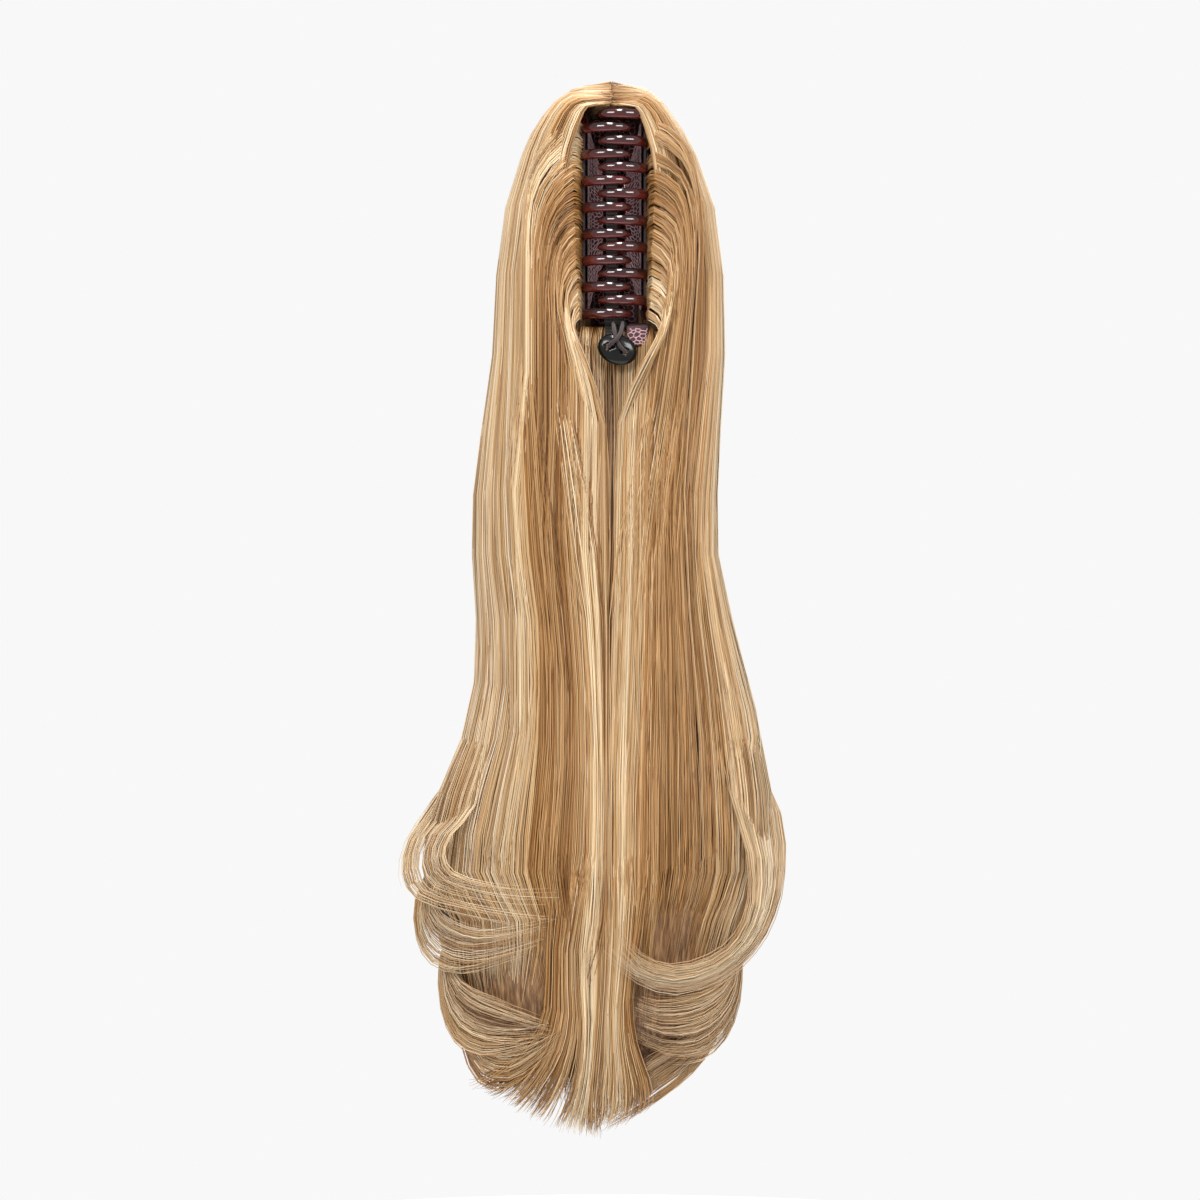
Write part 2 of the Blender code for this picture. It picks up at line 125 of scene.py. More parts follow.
FLOOR_Z = -0.5
floor_shape = bmesh.new()
bmesh.ops.create_circle(
    floor_shape, cap_ends=True, segments=96, radius=0.4, matrix=Matrix.Translation((0.0, 0.0, FLOOR_Z))
)
floor_mesh = bpy.data.meshes.new("floor")
floor_shape.to_mesh(floor_mesh)
floor_shape.free()
floor = new_object("floor", floor_mesh)
floor_paint = bpy.data.materials.new("floor_paint")
floor_paint.use_nodes = True
floor_shader = floor_paint.node_tree.nodes["Principled BSDF"]
set_inputs(floor_shader, {"Base Color": (0.86, 0.86, 0.86, 1.0), "Roughness": 0.9})
floor_mesh.materials.append(floor_paint)


# The elastic loop: a thin round knitted cord, mauve-brown, sewn to the end of the clip's net. Its
# two strands cross and pass through the button's holes, which takes up the slack.

MM = 0.001
LOOP_RADIUS = 0.85
LOOP_STEPS = 6
LOOP_POINTS = (
    (-0.6, -5.6, -46.9), (-0.4, -14.6, -48.6), (0, -20, -51.6), (0.8, -22.3, -55.2), (2.6, -23, -58.6),
    (4.4, -22.3, -60.3), (4.62, -20, -60.55), (4.62, -17, -60.5), (4.2, -14.4, -60.1), (1, -13.4, -59),
    (-2, -14.4, -58), (-2.6, -17, -58.15), (-2.6, -20, -58.15), (-2.3, -22.6, -57.8), (-1, -24, -56.8),
    (1, -23.8, -55), (2.6, -20.6, -52.2), (3.4, -14.8, -48.6), (3.6, -5.6, -46.9),
)


def srgb(*colour):
    """A colour read off a screen, 0 to 255, as the shader's linear one."""
    return tuple(
        (c / 255 / 12.92) if c / 255 <= 0.04045 else ((c / 255 + 0.055) / 1.055) ** 2.4 for c in colour
    ) + (1.0,)


def new_material(name):
    made = bpy.data.materials.new(name)
    made.use_nodes = True
    return made, made.node_tree.nodes, made.node_tree.links, made.node_tree.nodes["Principled BSDF"]


def fill_ramp(ramp, stops):
    """Sets a colour ramp to (place, colour) stops."""
    while len(ramp.elements) > 1:
        ramp.elements.remove(ramp.elements[-1])
    ramp.elements[0].position = stops[0][0]
    ramp.elements[0].color = stops[0][1]
    for place, colour in stops[1:]:
        ramp.elements.new(place).color = colour


def mottled(
    name, scale, stops, roughness, bump=0.0, bump_depth=0.0002, stretch=(1.0, 1.0, 1.0), detail=3.0
):
    """A material whose colour and relief both follow one noise on the piece's own coordinates."""
    made, nodes, links, shader = new_material(name)
    coordinates = nodes.new("ShaderNodeTexCoord")
    spread = new_node(nodes, "ShaderNodeMapping", {"Scale": stretch})
    noise = new_node(nodes, "ShaderNodeTexNoise", {"Scale": scale, "Detail": detail})
    ramp = nodes.new("ShaderNodeValToRGB")
    fill_ramp(ramp.color_ramp, stops)
    relief = new_node(nodes, "ShaderNodeBump", {"Strength": bump, "Distance": bump_depth})
    join_up(
        links,
        (coordinates, "Object", spread, "Vector"),
        (spread, "Vector", noise, "Vector"),
        (noise, "Fac", ramp, "Fac"),
        (noise, "Fac", relief, "Height"),
        (ramp, "Color", shader, "Base Color"),
        (relief, "Normal", shader, "Normal"),
    )
    shader.inputs["Roughness"].default_value = roughness
    return made, nodes, links, noise, shader


elastic_paint, *_, shader = mottled(
    "knitted_elastic",
    2600.0,
    ((0.35, srgb(26, 13, 13)), (0.55, srgb(48, 29, 28)), (0.72, srgb(80, 54, 52))),
    0.75,
    bump=0.7,
)
shader.inputs["Sheen Weight"].default_value = 0.3


def curve_through(keys, counts):
    """Smooth curves through keys (curve, key, xyz), with so many points to each span."""
    first = 2 * keys[:, :1] - keys[:, 1:2]
    last = 2 * keys[:, -1:] - keys[:, -2:-1]
    ends = np.concatenate([first, keys, last], axis=1)
    spans = []
    for span, count in enumerate(counts):
        a, b, c, d = (ends[:, span + k, None, :] for k in range(4))
        t = (np.arange(count) / count)[None, :, None]
        bend = 2 * a - 5 * b + 4 * c - d
        twist = 3 * b - a - 3 * c + d
        spans.append(0.5 * (2 * b + (c - a) * t + bend * t**2 + twist * t**3))
    spans.append(keys[:, -1:])
    return np.concatenate(spans, axis=1)


loop_counts = [LOOP_STEPS] * (len(LOOP_POINTS) - 1)
loop_path = [Vector(point) * MM for point in curve_through(np.array([LOOP_POINTS], float), loop_counts)[0]]
loop_line = bpy.data.curves.new("elastic_cord", "CURVE")
loop_line.dimensions = "3D"
loop_line.bevel_depth = LOOP_RADIUS * MM
loop_line.bevel_resolution = 3
loop_line.use_fill_caps = True
loop_spline = loop_line.splines.new("POLY")
loop_spline.points.add(len(loop_path) - 1)
for place, point in zip(loop_spline.points, loop_path):
    place.co = (*point, 1.0)
loop_spline.use_smooth = True
loop_line.materials.append(elastic_paint)
elastic_cord = new_object("elastic_cord", loop_line)
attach(elastic_cord, "root")
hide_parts("elastic_loop")


# The button: an oval bean of glossy black plastic with two holes, a little scuffed by handling.
# It slides on the elastic and tightens the loop by friction.

button_paint, nodes, links, noise, shader = mottled(
    "black_button_plastic",
    420.0,
    ((0.35, srgb(7, 7, 7)), (0.65, srgb(16, 16, 15))),
    0.16,
    bump=0.12,
)
scuffs = new_node(nodes, "ShaderNodeMapRange", {"To Min": 0.10, "To Max": 0.30})
links.new(noise.outputs["Fac"], scuffs.inputs["Value"])
links.new(scuffs.outputs["Result"], shader.inputs["Roughness"])
set_inputs(shader, {"Coat Weight": 0.2, "Coat Roughness": 0.08, "Specular IOR Level": 0.35})


def finished(node, body, paint, sharp=40.0, shape_up=None):
    """A merged, smoothly shaded copy of a CAD node, which stands for it."""
    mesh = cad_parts[node].data.copy()
    mesh.name = node + "_finished"
    shape = bmesh.new()
    shape.from_mesh(mesh)
    bmesh.ops.remove_doubles(shape, verts=shape.verts, dist=0.000002)
    bmesh.ops.recalc_face_normals(shape, faces=shape.faces)
    if shape_up:
        shape_up(shape)
    shape.to_mesh(mesh)
    shape.free()
    piece = new_object(node + "_finished", mesh)
    mesh.materials.clear()
    mesh.materials.append(paint)
    mesh.shade_smooth()
    mesh.set_sharp_from_angle(angle=math.radians(sharp))
    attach(piece, body)
    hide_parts(node)
    return piece


button = finished("toggle", "root", button_paint, 50.0)


# The hinge: a steel pin through the knuckles of both jaws, with a coil spring of round wire on
# it that pulls the jaws shut.

steel_paint, *_, shader = mottled(
    "drawn_steel",
    900.0,
    ((0.3, (0.34, 0.34, 0.35, 1.0)), (0.7, (0.60, 0.60, 0.61, 1.0))),
    0.28,
    bump=0.2,
    stretch=(1.0, 1.0, 0.05),
)
shader.inputs["Metallic"].default_value = 1.0
finished("hinge_pin", "root", steel_paint)
finished("hinge_spring", "root", steel_paint, 60.0)


# The jaws: two combs of eight curved teeth, moulded in glossy translucent tortoise plastic, dark
# maroon, with a brighter red painted on the faces that look down as painted light passing through. Each has
# a thumb lever behind.

tortoise_paint, nodes, links, _, shader = mottled(
    "tortoise_plastic",
    95.0,
    ((0.36, srgb(30, 9, 10)), (0.54, srgb(50, 15, 15)), (0.72, srgb(84, 24, 20))),
    0.10,
    detail=1.5,
)
# Painted light: the colour turns a brighter red on faces that look down, standing in for light passing
# through the plastic.
facing = nodes.new("ShaderNodeTexCoord")
facing_parts = nodes.new("ShaderNodeSeparateXYZ")
under = new_node(nodes, "ShaderNodeMapRange", {"From Min": 0.25, "From Max": -0.85})
painted_through_light = nodes.new("ShaderNodeMix")
painted_through_light.data_type = "RGBA"
painted_through_light.inputs["B"].default_value = srgb(98, 24, 20)
join_up(
    links,
    (facing, "Normal", facing_parts, "Vector"),
    (facing_parts, "Z", under, "Value"),
    (under, "Result", painted_through_light, "Factor"),
    (nodes["Color Ramp"], "Color", painted_through_light, "A"),
    (painted_through_light, "Result", shader, "Base Color"),
)
set_inputs(
    shader,
    {"Coat Weight": 0.5, "Coat Roughness": 0.03, "IOR": 1.54, "Transmission Weight": 0.12},
)
TOOTH_ROOT_Y = -0.006
TOOTH_SWELL = 0.0005
TOOTH_FADE = 0.004


def swell_teeth(shape):
    """Makes the teeth as tall as they are seen to be, towards their rounded ends."""
    shape.normal_update()
    for vert in shape.verts:
        share = min(1.0, max(0.0, (TOOTH_ROOT_Y - vert.co.y) / TOOTH_FADE))
        vert.co.z += vert.normal.z * TOOTH_SWELL * share


for side_name in ("left", "right"):
    finished(
        "jaw_" + side_name, "jaw_" + side_name, tortoise_paint, 42.0, shape_up=swell_teeth
    )


# The centre band: a black woven tape with open rungs like a ladder, which joins the two halves
# of the net down the middle and ends behind the button.

band_paint, nodes, links, _, shader = mottled(
    "black_ladder_tape",
    1800.0,
    ((0.35, srgb(12, 15, 13)), (0.65, srgb(40, 46, 40))),
    0.8,
    bump=0.5,
)
rung_coordinates = nodes.new("ShaderNodeTexCoord")
rungs = nodes.new("ShaderNodeTexWave")
rungs.bands_direction = "Z"
set_inputs(rungs, {"Scale": 190.0, "Distortion": 0.4})
rung_mix = nodes.new("ShaderNodeMix")
rung_mix.data_type = "RGBA"
rung_mix.inputs["B"].default_value = srgb(66, 60, 56)
rung_relief = new_node(nodes, "ShaderNodeBump", {"Strength": 0.8, "Distance": 0.0004})
join_up(
    links,
    (rung_coordinates, "Object", rungs, "Vector"),
    (rungs, "Fac", rung_mix, "Factor"),
    (nodes["Color Ramp"], "Color", rung_mix, "A"),
    (rung_mix, "Result", shader, "Base Color"),
    (rungs, "Fac", rung_relief, "Height"),
    (nodes["Bump"], "Normal", rung_relief, "Normal"),
    (rung_relief, "Normal", shader, "Normal"),
)
finished("centre_band", "root", band_paint, 35.0)


# The net: stretch lace knitted in open, uneven hexagons of mauve thread over a dark fine mesh.
# It wraps each jaw's rail inside and out, covers the hinge, and hangs in a flap at the bottom.

NET_WALL = 0.30
LACE_CELL = 2.3
LACE_RADIUS = 0.20
LACE_SIDES = 4
LACE_JITTER = 0.26
COVER_ROWS = (  # x, y, half_height
    (6.9, 14.1, 22), (9.7, 12.3, 28), (13.1, 8.5, 36), (15.4, 3.4, 42), (16.3, -2.2, 43.5),
    (16.7, -6.4, 43.5), (17, -9.5, 42.5),
)
LINING_ROWS = ((4.9, 9.9, 20), (7.2, 8.2, 25), (9.8, 5.4, 34), (11.4, 2, 41), (11.9, -0.9, 44))
SPINE_Y = 20.6
SPINE_HALF = (10.0, 45.5)
SPINE_WINDOW = (9.3, 16.6)
FLAP_ROWS = (  # x, y, z, half_width
    (11.0, -1, -46.8, 3.4), (10.8, -9, -47.9, 4.6), (10.2, -15.2, -49.4, 4.9), (9.9, -15.9, -53.5, 4.7),
    (9.8, -15.7, -57.5, 3.6),
)
lace_draw = np.random.default_rng(5)

lace_paint, *_, shader = mottled(
    "mauve_lace_thread",
    3000.0,
    ((0.3, srgb(158, 118, 124)), (0.55, srgb(204, 164, 168)), (0.75, srgb(236, 206, 206))),
    0.7,
    bump=0.6,
    bump_depth=0.00008,
)
shader.inputs["Sheen Weight"].default_value = 0.25
ground_paint, *_ = mottled(
    "dark_fine_mesh",
    2400.0,
    ((0.38, srgb(36, 20, 22)), (0.55, srgb(80, 48, 52)), (0.7, srgb(118, 80, 84))),
    0.85,
    bump=0.7,
)


def new_tree(name, inputs):
    """A Geometry Nodes tree, its inputs' identifiers by name, and its two end nodes."""
    tree = bpy.data.node_groups.new(name, "GeometryNodeTree")
    tree.interface.new_socket("Geometry", in_out="INPUT", socket_type="NodeSocketGeometry")
    sockets = {
        label: tree.interface.new_socket(label, in_out="INPUT", socket_type="NodeSocket" + kind).identifier
        for label, kind in inputs
    }
    tree.interface.new_socket("Geometry", in_out="OUTPUT", socket_type="NodeSocketGeometry")
    return tree, sockets, tree.nodes.new("NodeGroupInput"), tree.nodes.new("NodeGroupOutput")


lace_tree, lace_sockets, lace_in, lace_out = new_tree(
    "lace", (("Thread Radius", "Float"), ("Sides", "Int"), ("Finish", "Material"))
)
lace_triangles = lace_tree.nodes.new("GeometryNodeTriangulate")
lace_cells = lace_tree.nodes.new("GeometryNodeDualMesh")
lace_lines = lace_tree.nodes.new("GeometryNodeMeshToCurve")
lace_section = new_node(lace_tree.nodes, "GeometryNodeCurvePrimitiveCircle", {"Radius": 1.0})
lace_threads = new_node(lace_tree.nodes, "GeometryNodeCurveToMesh", {"Fill Caps": True})
lace_real = lace_tree.nodes.new("GeometryNodeRealizeInstances")
lace_finish = lace_tree.nodes.new("GeometryNodeSetMaterial")
join_up(
    lace_tree.links,
    (lace_in, "Geometry", lace_triangles, "Mesh"),
    (lace_triangles, "Mesh", lace_cells, "Mesh"),
    (lace_cells, "Dual Mesh", lace_lines, "Mesh"),
    (lace_lines, "Curve", lace_threads, "Curve"),
    (lace_in, "Sides", lace_section, "Resolution"),
    (lace_section, "Curve", lace_threads, "Profile Curve"),
    (lace_in, "Thread Radius", lace_threads, "Scale"),
    (lace_threads, "Mesh", lace_real, "Geometry"),
    (lace_real, "Geometry", lace_finish, "Geometry"),
    (lace_in, "Finish", lace_finish, "Material"),
    (lace_finish, "Geometry", lace_out, "Geometry"),
)


def applied(piece):
    """The piece as its modifiers leave it, as a plain mesh without them."""
    bpy.context.view_layer.update()
    graph = bpy.context.evaluated_depsgraph_get()
    mesh = bpy.data.meshes.new_from_object(piece.evaluated_get(graph), depsgraph=graph)
    piece.modifiers.clear()
    piece.data = mesh
    return piece


def grid_piece(name, points, paint):
    """An open sheet of quads through a grid of points in mm, as an object."""
    rows, columns = points.shape[:2]
    faces = [
        (r * columns + c, r * columns + c + 1, (r + 1) * columns + c + 1, (r + 1) * columns + c)
        for r in range(rows - 1)
        for c in range(columns - 1)
    ]
    mesh = bpy.data.meshes.new(name)
    mesh.from_pydata((points.reshape(-1, 3) * MM).tolist(), [], faces)
    mesh.materials.append(paint)
    return new_object(name, mesh)


def lay_lace(name, surface, wide, tall, body, outwards, lift):
    """Lace on a surface, which gives a point in mm for u and v from 0 to 1."""
    across = max(3, round(wide / LACE_CELL))
    down = max(3, round(tall / LACE_CELL))
    u, v = np.meshgrid(np.linspace(0, 1, across + 1), np.linspace(0, 1, down + 1), indexing="ij")
    drift = np.where((u > 0) & (u < 1) & (v > 0) & (v < 1), LACE_JITTER, 0.0)
    stagger = (np.arange(across + 1) % 2)[:, None] * 0.5
    u = np.clip(u + lace_draw.normal(0.0, 1.0, u.shape) * drift / across, 0, 1)
    v = np.clip(v + (lace_draw.normal(0.0, 1.0, v.shape) * drift + stagger) / down, 0, 1)
    threads = grid_piece(name + "_lace", surface(u, v) + outwards(u, v) * lift, lace_paint)
    step = threads.modifiers.new("lace", "NODES")
    step.node_group = lace_tree
    step[lace_sockets["Thread Radius"]] = LACE_RADIUS * MM
    step[lace_sockets["Sides"]] = LACE_SIDES
    step[lace_sockets["Finish"]] = lace_paint
    applied(threads)
    threads.data.shade_smooth()
    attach(threads, body)
    return threads


def lay_net(name, surface, wide, tall, body, node, outwards):
    """A wall of fine dark mesh with lace on its seen face, in place of one node of the net."""
    u, v = np.meshgrid(np.linspace(0, 1, 13), np.linspace(0, 1, 41), indexing="ij")
    ground = grid_piece(name + "_ground", surface(u, v), ground_paint)
    wall = ground.modifiers.new("wall", "SOLIDIFY")
    wall.thickness = NET_WALL * MM
    wall.offset = 0.0
    applied(ground)
    face_outwards(ground.data)
    ground.data.shade_smooth()
    threads = lay_lace(name, surface, wide, tall, body, outwards, NET_WALL / 2 + LACE_RADIUS * 0.4)
    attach(ground, body)
    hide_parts(node)


def face_outwards(mesh):
    shape = bmesh.new()
    shape.from_mesh(mesh)
    bmesh.ops.recalc_face_normals(shape, faces=shape.faces)
    shape.to_mesh(mesh)
    shape.free()


def along_rows(rows, u):
    """The columns of a table read at a share of the way along its rows."""
    table = np.array(rows, float)
    place = u * (len(table) - 1)
    return [np.interp(place, np.arange(len(table)), table[:, k]) for k in range(table.shape[1])]


FLARE_FROM, FLARE_RISE = 4.0, 14.0
FLARE_TO, FLARE_FALL = 47.0, 6.0


def wall_surface(rows, side, flare):
    """A curved wall that stands along Z beside a jaw, flared outwards near its top."""

    def surface(u, v):
        x, y, half = along_rows(rows, u)
        z = (2 * v - 1) * half
        flared = np.clip((z - FLARE_FROM) / FLARE_RISE, 0, 1) * np.clip((FLARE_TO - z) / FLARE_FALL, 0, 1)
        open_out = flare * u**3 * flared
        return np.stack([side * (x + open_out), y - open_out * 0.5, z], axis=-1)

    return surface


def wall_outwards(rows, side, turn):
    """Which way the wall's seen face looks."""

    def outwards(u, v):
        step = 0.02
        x0, y0, _ = along_rows(rows, np.clip(u - step, 0, 1))
        x1, y1, _ = along_rows(rows, np.clip(u + step, 0, 1))
        run = np.hypot(x1 - x0, y1 - y0)
        return np.stack([side * -(y1 - y0) / run * turn, (x1 - x0) / run * turn, u * 0], axis=-1)

    return outwards


for side_name, side, flare in (("left", -1, 3.4), ("right", 1, 1.2)):
    jaw = "jaw_" + side_name
    lay_net(
        "cover_" + side_name, wall_surface(COVER_ROWS, side, flare), 26.0, 87.0, jaw,
        "net_cover_" + side_name, wall_outwards(COVER_ROWS, side, 1),
    )
    lay_net(
        "lining_" + side_name, wall_surface(LINING_ROWS, side, 0.0), 13.4, 88.0, jaw,
        "net_lining_" + side_name, wall_outwards(LINING_ROWS, side, -1),
    )


def spine_part(low, high):
    """A stretch of the plate of net behind the hinge, seen between the jaws."""

    def surface(u, v):
        return np.stack([(2 * u - 1) * SPINE_HALF[0], u * 0 + SPINE_Y, low + v * (high - low)], axis=-1)

    return surface


def flap_surface(u, v):
    x, y, z, half = along_rows(FLAP_ROWS, v)
    return np.stack([x + (2 * u - 1) * half, y, z], axis=-1)


def towards_front(u, v):
    return np.stack([u * 0, u * 0 - 1, u * 0], axis=-1)


def flap_outwards(u, v):
    top = np.clip(1.4 - v * 2.2, 0, 1)
    return np.stack([u * 0, top - 1.1, -top], axis=-1)


spine_ground = finished("net_spine", "root", ground_paint, 35.0)
spine_lace = [
    lay_lace("spine_" + part, spine_part(low, high), 20.0, 28.0, "root", towards_front, 0.6)
    for part, low, high in (
        ("top", SPINE_WINDOW[1] + 0.8, SPINE_HALF[1]),
        ("bottom", -SPINE_HALF[1], -SPINE_WINDOW[1] - 0.8),
    )
]
lay_net("flap", flap_surface, 10.1, 24.0, "root", "net_flap", flap_outwards)


# The hair mass: heat-set synthetic hair in blond, honey and brown, hundreds of wefts deep. Its
# middle is too dense to see into, so it is one closed body inset below the outermost strands,
# open in front of the clip and streaked like the hair that covers it, but darker with painted shade.

FALL_ROWS = (  # z, left, right, front, back: the hair's own outline at each level, in mm
    (59.3, -13, 11, -5, 16),
    (57, -18.5, 14.5, -9.5, 23.5),
    (52.8, -24.4, 18.8, -14, 30),
    (48, -30, 24, -17, 35),
    (44.1, -34, 27.5, -18.5, 38),
    (35.5, -38.3, 33.5, -20.5, 41.5),
    (26.8, -41.8, 37.4, -21.3, 43.5),
    (9.5, -47.8, 43.9, -22.2, 45.8),
    (-7.8, -50.4, 47.2, -22.8, 46.6),
    (-25.1, -52.6, 48.8, -23.2, 46.8),
    (-42.4, -53.4, 49.2, -23.6, 46.2),
    (-59.7, -53.9, 49.2, -23.8, 44.5),
    (-77, -55.6, 48.4, -24, 42.2),
    (-94.3, -59.1, 46.9, -24, 39.5),
    (-111.6, -61.7, 46.1, -24, 36.8),
    (-128.9, -63, 45.2, -24, 34.5),
    (-146.3, -63, 45.6, -24, 32.6),
    (-163.6, -61.7, 48.2, -24, 31.2),
    (-180.9, -60.8, 53.4, -24.5, 31),
    (-198.2, -61.2, 57.8, -25.5, 31),
    (-215.5, -63, 61.8, -27, 31),
    (-232.8, -68.6, 65.6, -29, 31),
    (-250.1, -76.5, 69, -31, 31),
    (-267.4, -84, 71, -33.5, 31),
    (-284.7, -85, 70, -35, 30),
    (-302, -80, 64, -34.5, 28),
    (-319.3, -76, 56.5, -33.5, 25.5),
    (-336.7, -72, 52, -31.5, 22.5),
    (-353.9, -66, 46, -29, 18.5),
    (-371.3, -55, 30, -25.5, 13),
    (-384, -41, 16, -21.5, 8.5),
    (-396, -26, 1, -17, 2),
    (-401, -15, -7, -14, -6),
)
VALLEY_ROWS = (  # z, depth, half_width of the parting under the button
    (-38, 0, 16),
    (-50, 13, 16),
    (-70, 12, 12),
    (-90, 7, 7),
    (-112, 2.5, 4),
    (-135, 0, 4),
)
CENTRE_ROWS = (  # z, x of the line that the middle strands follow
    (62, -1.3), (0, -1.5), (-60, -2), (-300, -3.5), (-360, -7), (-401, -11),
)
FALL_STEP = 1.5
FALL_SMOOTHING = 7.0  # mm, takes the corners out of the tables
FULLNESS = 0.84
PLUMB_HEIGHTS = (-250.0, -150.0)
PLUMB = (1.5, 1.0)  # over 1, the middle strands of the front fall straight while the sides swell

fall_heights = np.arange(-402.0, 62.0, FALL_STEP)


def smooth_columns(rows, smoothing):
    """The columns of a table of heights, read at every step of the fall and smoothed."""
    table = np.array(rows)[::-1]
    reach = np.arange(-3.0 * smoothing, 3.0 * smoothing + 0.1, FALL_STEP)
    kernel = np.exp(-((reach / smoothing) ** 2))
    kernel /= kernel.sum()
    columns = []
    for column in table.T[1:]:
        read = np.interp(fall_heights, table[:, 0], column)
        padded = np.pad(read, len(reach) // 2, mode="reflect", reflect_type="odd")
        columns.append(np.convolve(padded, kernel, mode="valid")[: len(read)])
    return columns


fall_columns = smooth_columns(FALL_ROWS, FALL_SMOOTHING)
valley_columns = smooth_columns(VALLEY_ROWS, FALL_SMOOTHING)
(centre_column,) = smooth_columns(CENTRE_ROWS, FALL_SMOOTHING)


def outline_at(z):
    """The left, right, front, back and centre of the fall at height z, in mm."""
    return [np.interp(z, fall_heights, column) for column in (*fall_columns, centre_column)]


def on_fall(angle, depth, z):
    """Points in mm at so many degrees round from the front, so deep, at height z."""
    left, right, front, back, centre = outline_at(z)
    valley, valley_width = (np.interp(z, fall_heights, column) for column in valley_columns)
    turn = np.radians(angle)
    forward = np.sign(np.cos(turn)) * np.abs(np.cos(turn)) ** FULLNESS
    plumb = np.where(forward > 0, np.interp(z, PLUMB_HEIGHTS, PLUMB), 1.0)
    across = np.sign(np.sin(turn)) * np.abs(np.sin(turn)) ** (FULLNESS * plumb)
    ahead = np.sqrt(np.clip(1.0 - np.abs(across) ** (2 / FULLNESS), 0.0, 1.0)) ** FULLNESS
    forward = np.where(forward > 0, ahead, forward)
    half_width = np.where(across < 0, centre - left, right - centre)
    x = centre + across * np.maximum(half_width - depth, 0.5)
    y = (front + back) / 2 - forward * np.maximum((back - front) / 2 - depth, 0.5)
    y = y + valley * np.exp(-((x / valley_width) ** 2)) * np.clip(forward * 2, 0, 1)
    return np.stack(np.broadcast_arrays(x, y, z), axis=-1)


CORE_LEVELS = (-378.0, -356.0, -300.0, -262.0)
CORE_DEPTHS = (15.0, 3.2, 2.8, 4.2)  # under the outermost strands at those levels, in mm
CORE_ARC = 56  # points round the outside
CORE_BAY = 17  # points round the bay for the clip
BAY_ANGLE = 46.0  # degrees from the front where the bay's walls start
BAY_HALF_WIDTH = 34.0
BAY_BACK = 21.0
BAY_NECK = (11.5, 19.0)  # half width behind the clip, and the y where it widens
BAY_SIDE_Y = 6.0
BAY_TOP = 48.7
BAY_BOTTOM = -51.0
CORE_HEIGHTS = (
    54, 51.5, 49.2, 48.2, 42, 32, 20, 5, -12, -30, -44, -50.5, -51.5, -60, -72, -86,
    -100, -120, -140, -165, -190, -215, -235, -255, -272, -288, -304, -320, -336,
    -352, -362, -370, -376,
)


def core_ring(z):
    """One level of the hair mass: round the outside, then across the front or round the bay."""
    depth = np.interp(z, CORE_LEVELS, CORE_DEPTHS)
    arc = on_fall(np.linspace(BAY_ANGLE, 360.0 - BAY_ANGLE, CORE_ARC), depth, z)
    share = np.linspace(-BAY_ANGLE, BAY_ANGLE, CORE_BAY + 2)[1:-1]
    front = on_fall(share, depth, z)
    if BAY_BOTTOM < z < BAY_TOP:
        wall = min(BAY_HALF_WIDTH, abs(arc[0][0]) - 2.0)
        neck, neck_y = BAY_NECK
        corners = np.array(
            [(-wall, arc[-1][1] + 1.0), (-wall, BAY_SIDE_Y), (-neck, neck_y), (-neck, BAY_BACK),
             (neck, BAY_BACK), (neck, neck_y), (wall, BAY_SIDE_Y), (wall, arc[0][1] + 1.0)]
        )
        along = np.linspace(0.0, len(corners) - 1.0, CORE_BAY)
        for k in (0, 1):
            front[:, k] = np.interp(along, np.arange(len(corners)), corners[:, k])
    return np.concatenate([arc, front])


def ring_loft(name, rings):
    """A closed mesh through rings of equally many points, in mm."""
    count = len(rings[0])
    faces = []
    for low in range(len(rings) - 1):
        for k in range(count):
            after = (k + 1) % count
            start = low * count
            faces.append((start + k, start + after, start + count + after, start + count + k))
    faces.append(tuple(range(count)))
    faces.append(tuple(reversed(range((len(rings) - 1) * count, len(rings) * count))))
    mesh = bpy.data.meshes.new(name)
    mesh.from_pydata((np.concatenate(rings) * MM).tolist(), [], faces)
    mesh.validate()
    face_outwards(mesh)
    mesh.shade_smooth()
    return mesh


# The hair's colours made darker, as painted shade deep in the hair between the strands.
core_paint, *_ = mottled(
    "deep_hair_painted_shade",
    900.0,
    ((0.30, srgb(78, 54, 34)), (0.52, srgb(122, 88, 56)), (0.72, srgb(164, 128, 88))),
    0.6,
    bump=0.6,
    bump_depth=0.0006,
    stretch=(1.0, 1.0, 0.03),
)
core_mesh = ring_loft("hair_core", [core_ring(z) for z in CORE_HEIGHTS])
core_mesh.materials.append(core_paint)
hair_core = new_object("hair_core", core_mesh)
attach(hair_core, "root")
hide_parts("hair_fall")


# The strands: each a tapering fibre of synthetic hair, dyed in streaks from brown to cream. They
# are machine-sewn in wefts at one end, hang free, and are heat-set into curls at the other.

hair_paint, nodes, links, shader = new_material("streaked_hair")
tone = nodes.new("ShaderNodeAttribute")
tone.attribute_name = "tone"
ash = nodes.new("ShaderNodeAttribute")
ash.attribute_name = "ash"
warm_ramp = nodes.new("ShaderNodeValToRGB")
fill_ramp(
    warm_ramp.color_ramp,
    (
        (0.0, srgb(76, 45, 20)),
        (0.22, srgb(124, 80, 36)),
        (0.42, srgb(160, 112, 58)),
        (0.62, srgb(192, 150, 98)),
        (0.80, srgb(212, 182, 138)),
        (1.0, srgb(234, 214, 178)),
    ),
)
ash_ramp = nodes.new("ShaderNodeValToRGB")
fill_ramp(
    ash_ramp.color_ramp,
    (
        (0.0, srgb(84, 62, 42)),
        (0.35, srgb(138, 110, 84)),
        (0.65, srgb(178, 152, 124)),
        (1.0, srgb(220, 202, 180)),
    ),
)
hair_mix = nodes.new("ShaderNodeMix")
hair_mix.data_type = "RGBA"
join_up(
    links,
    (tone, "Fac", warm_ramp, "Fac"),
    (tone, "Fac", ash_ramp, "Fac"),
    (ash, "Fac", hair_mix, "Factor"),
    (warm_ramp, "Color", hair_mix, "A"),
    (ash_ramp, "Color", hair_mix, "B"),
    (hair_mix, "Result", shader, "Base Color"),
)
set_inputs(shader, {"Roughness": 0.42, "Specular IOR Level": 0.45})

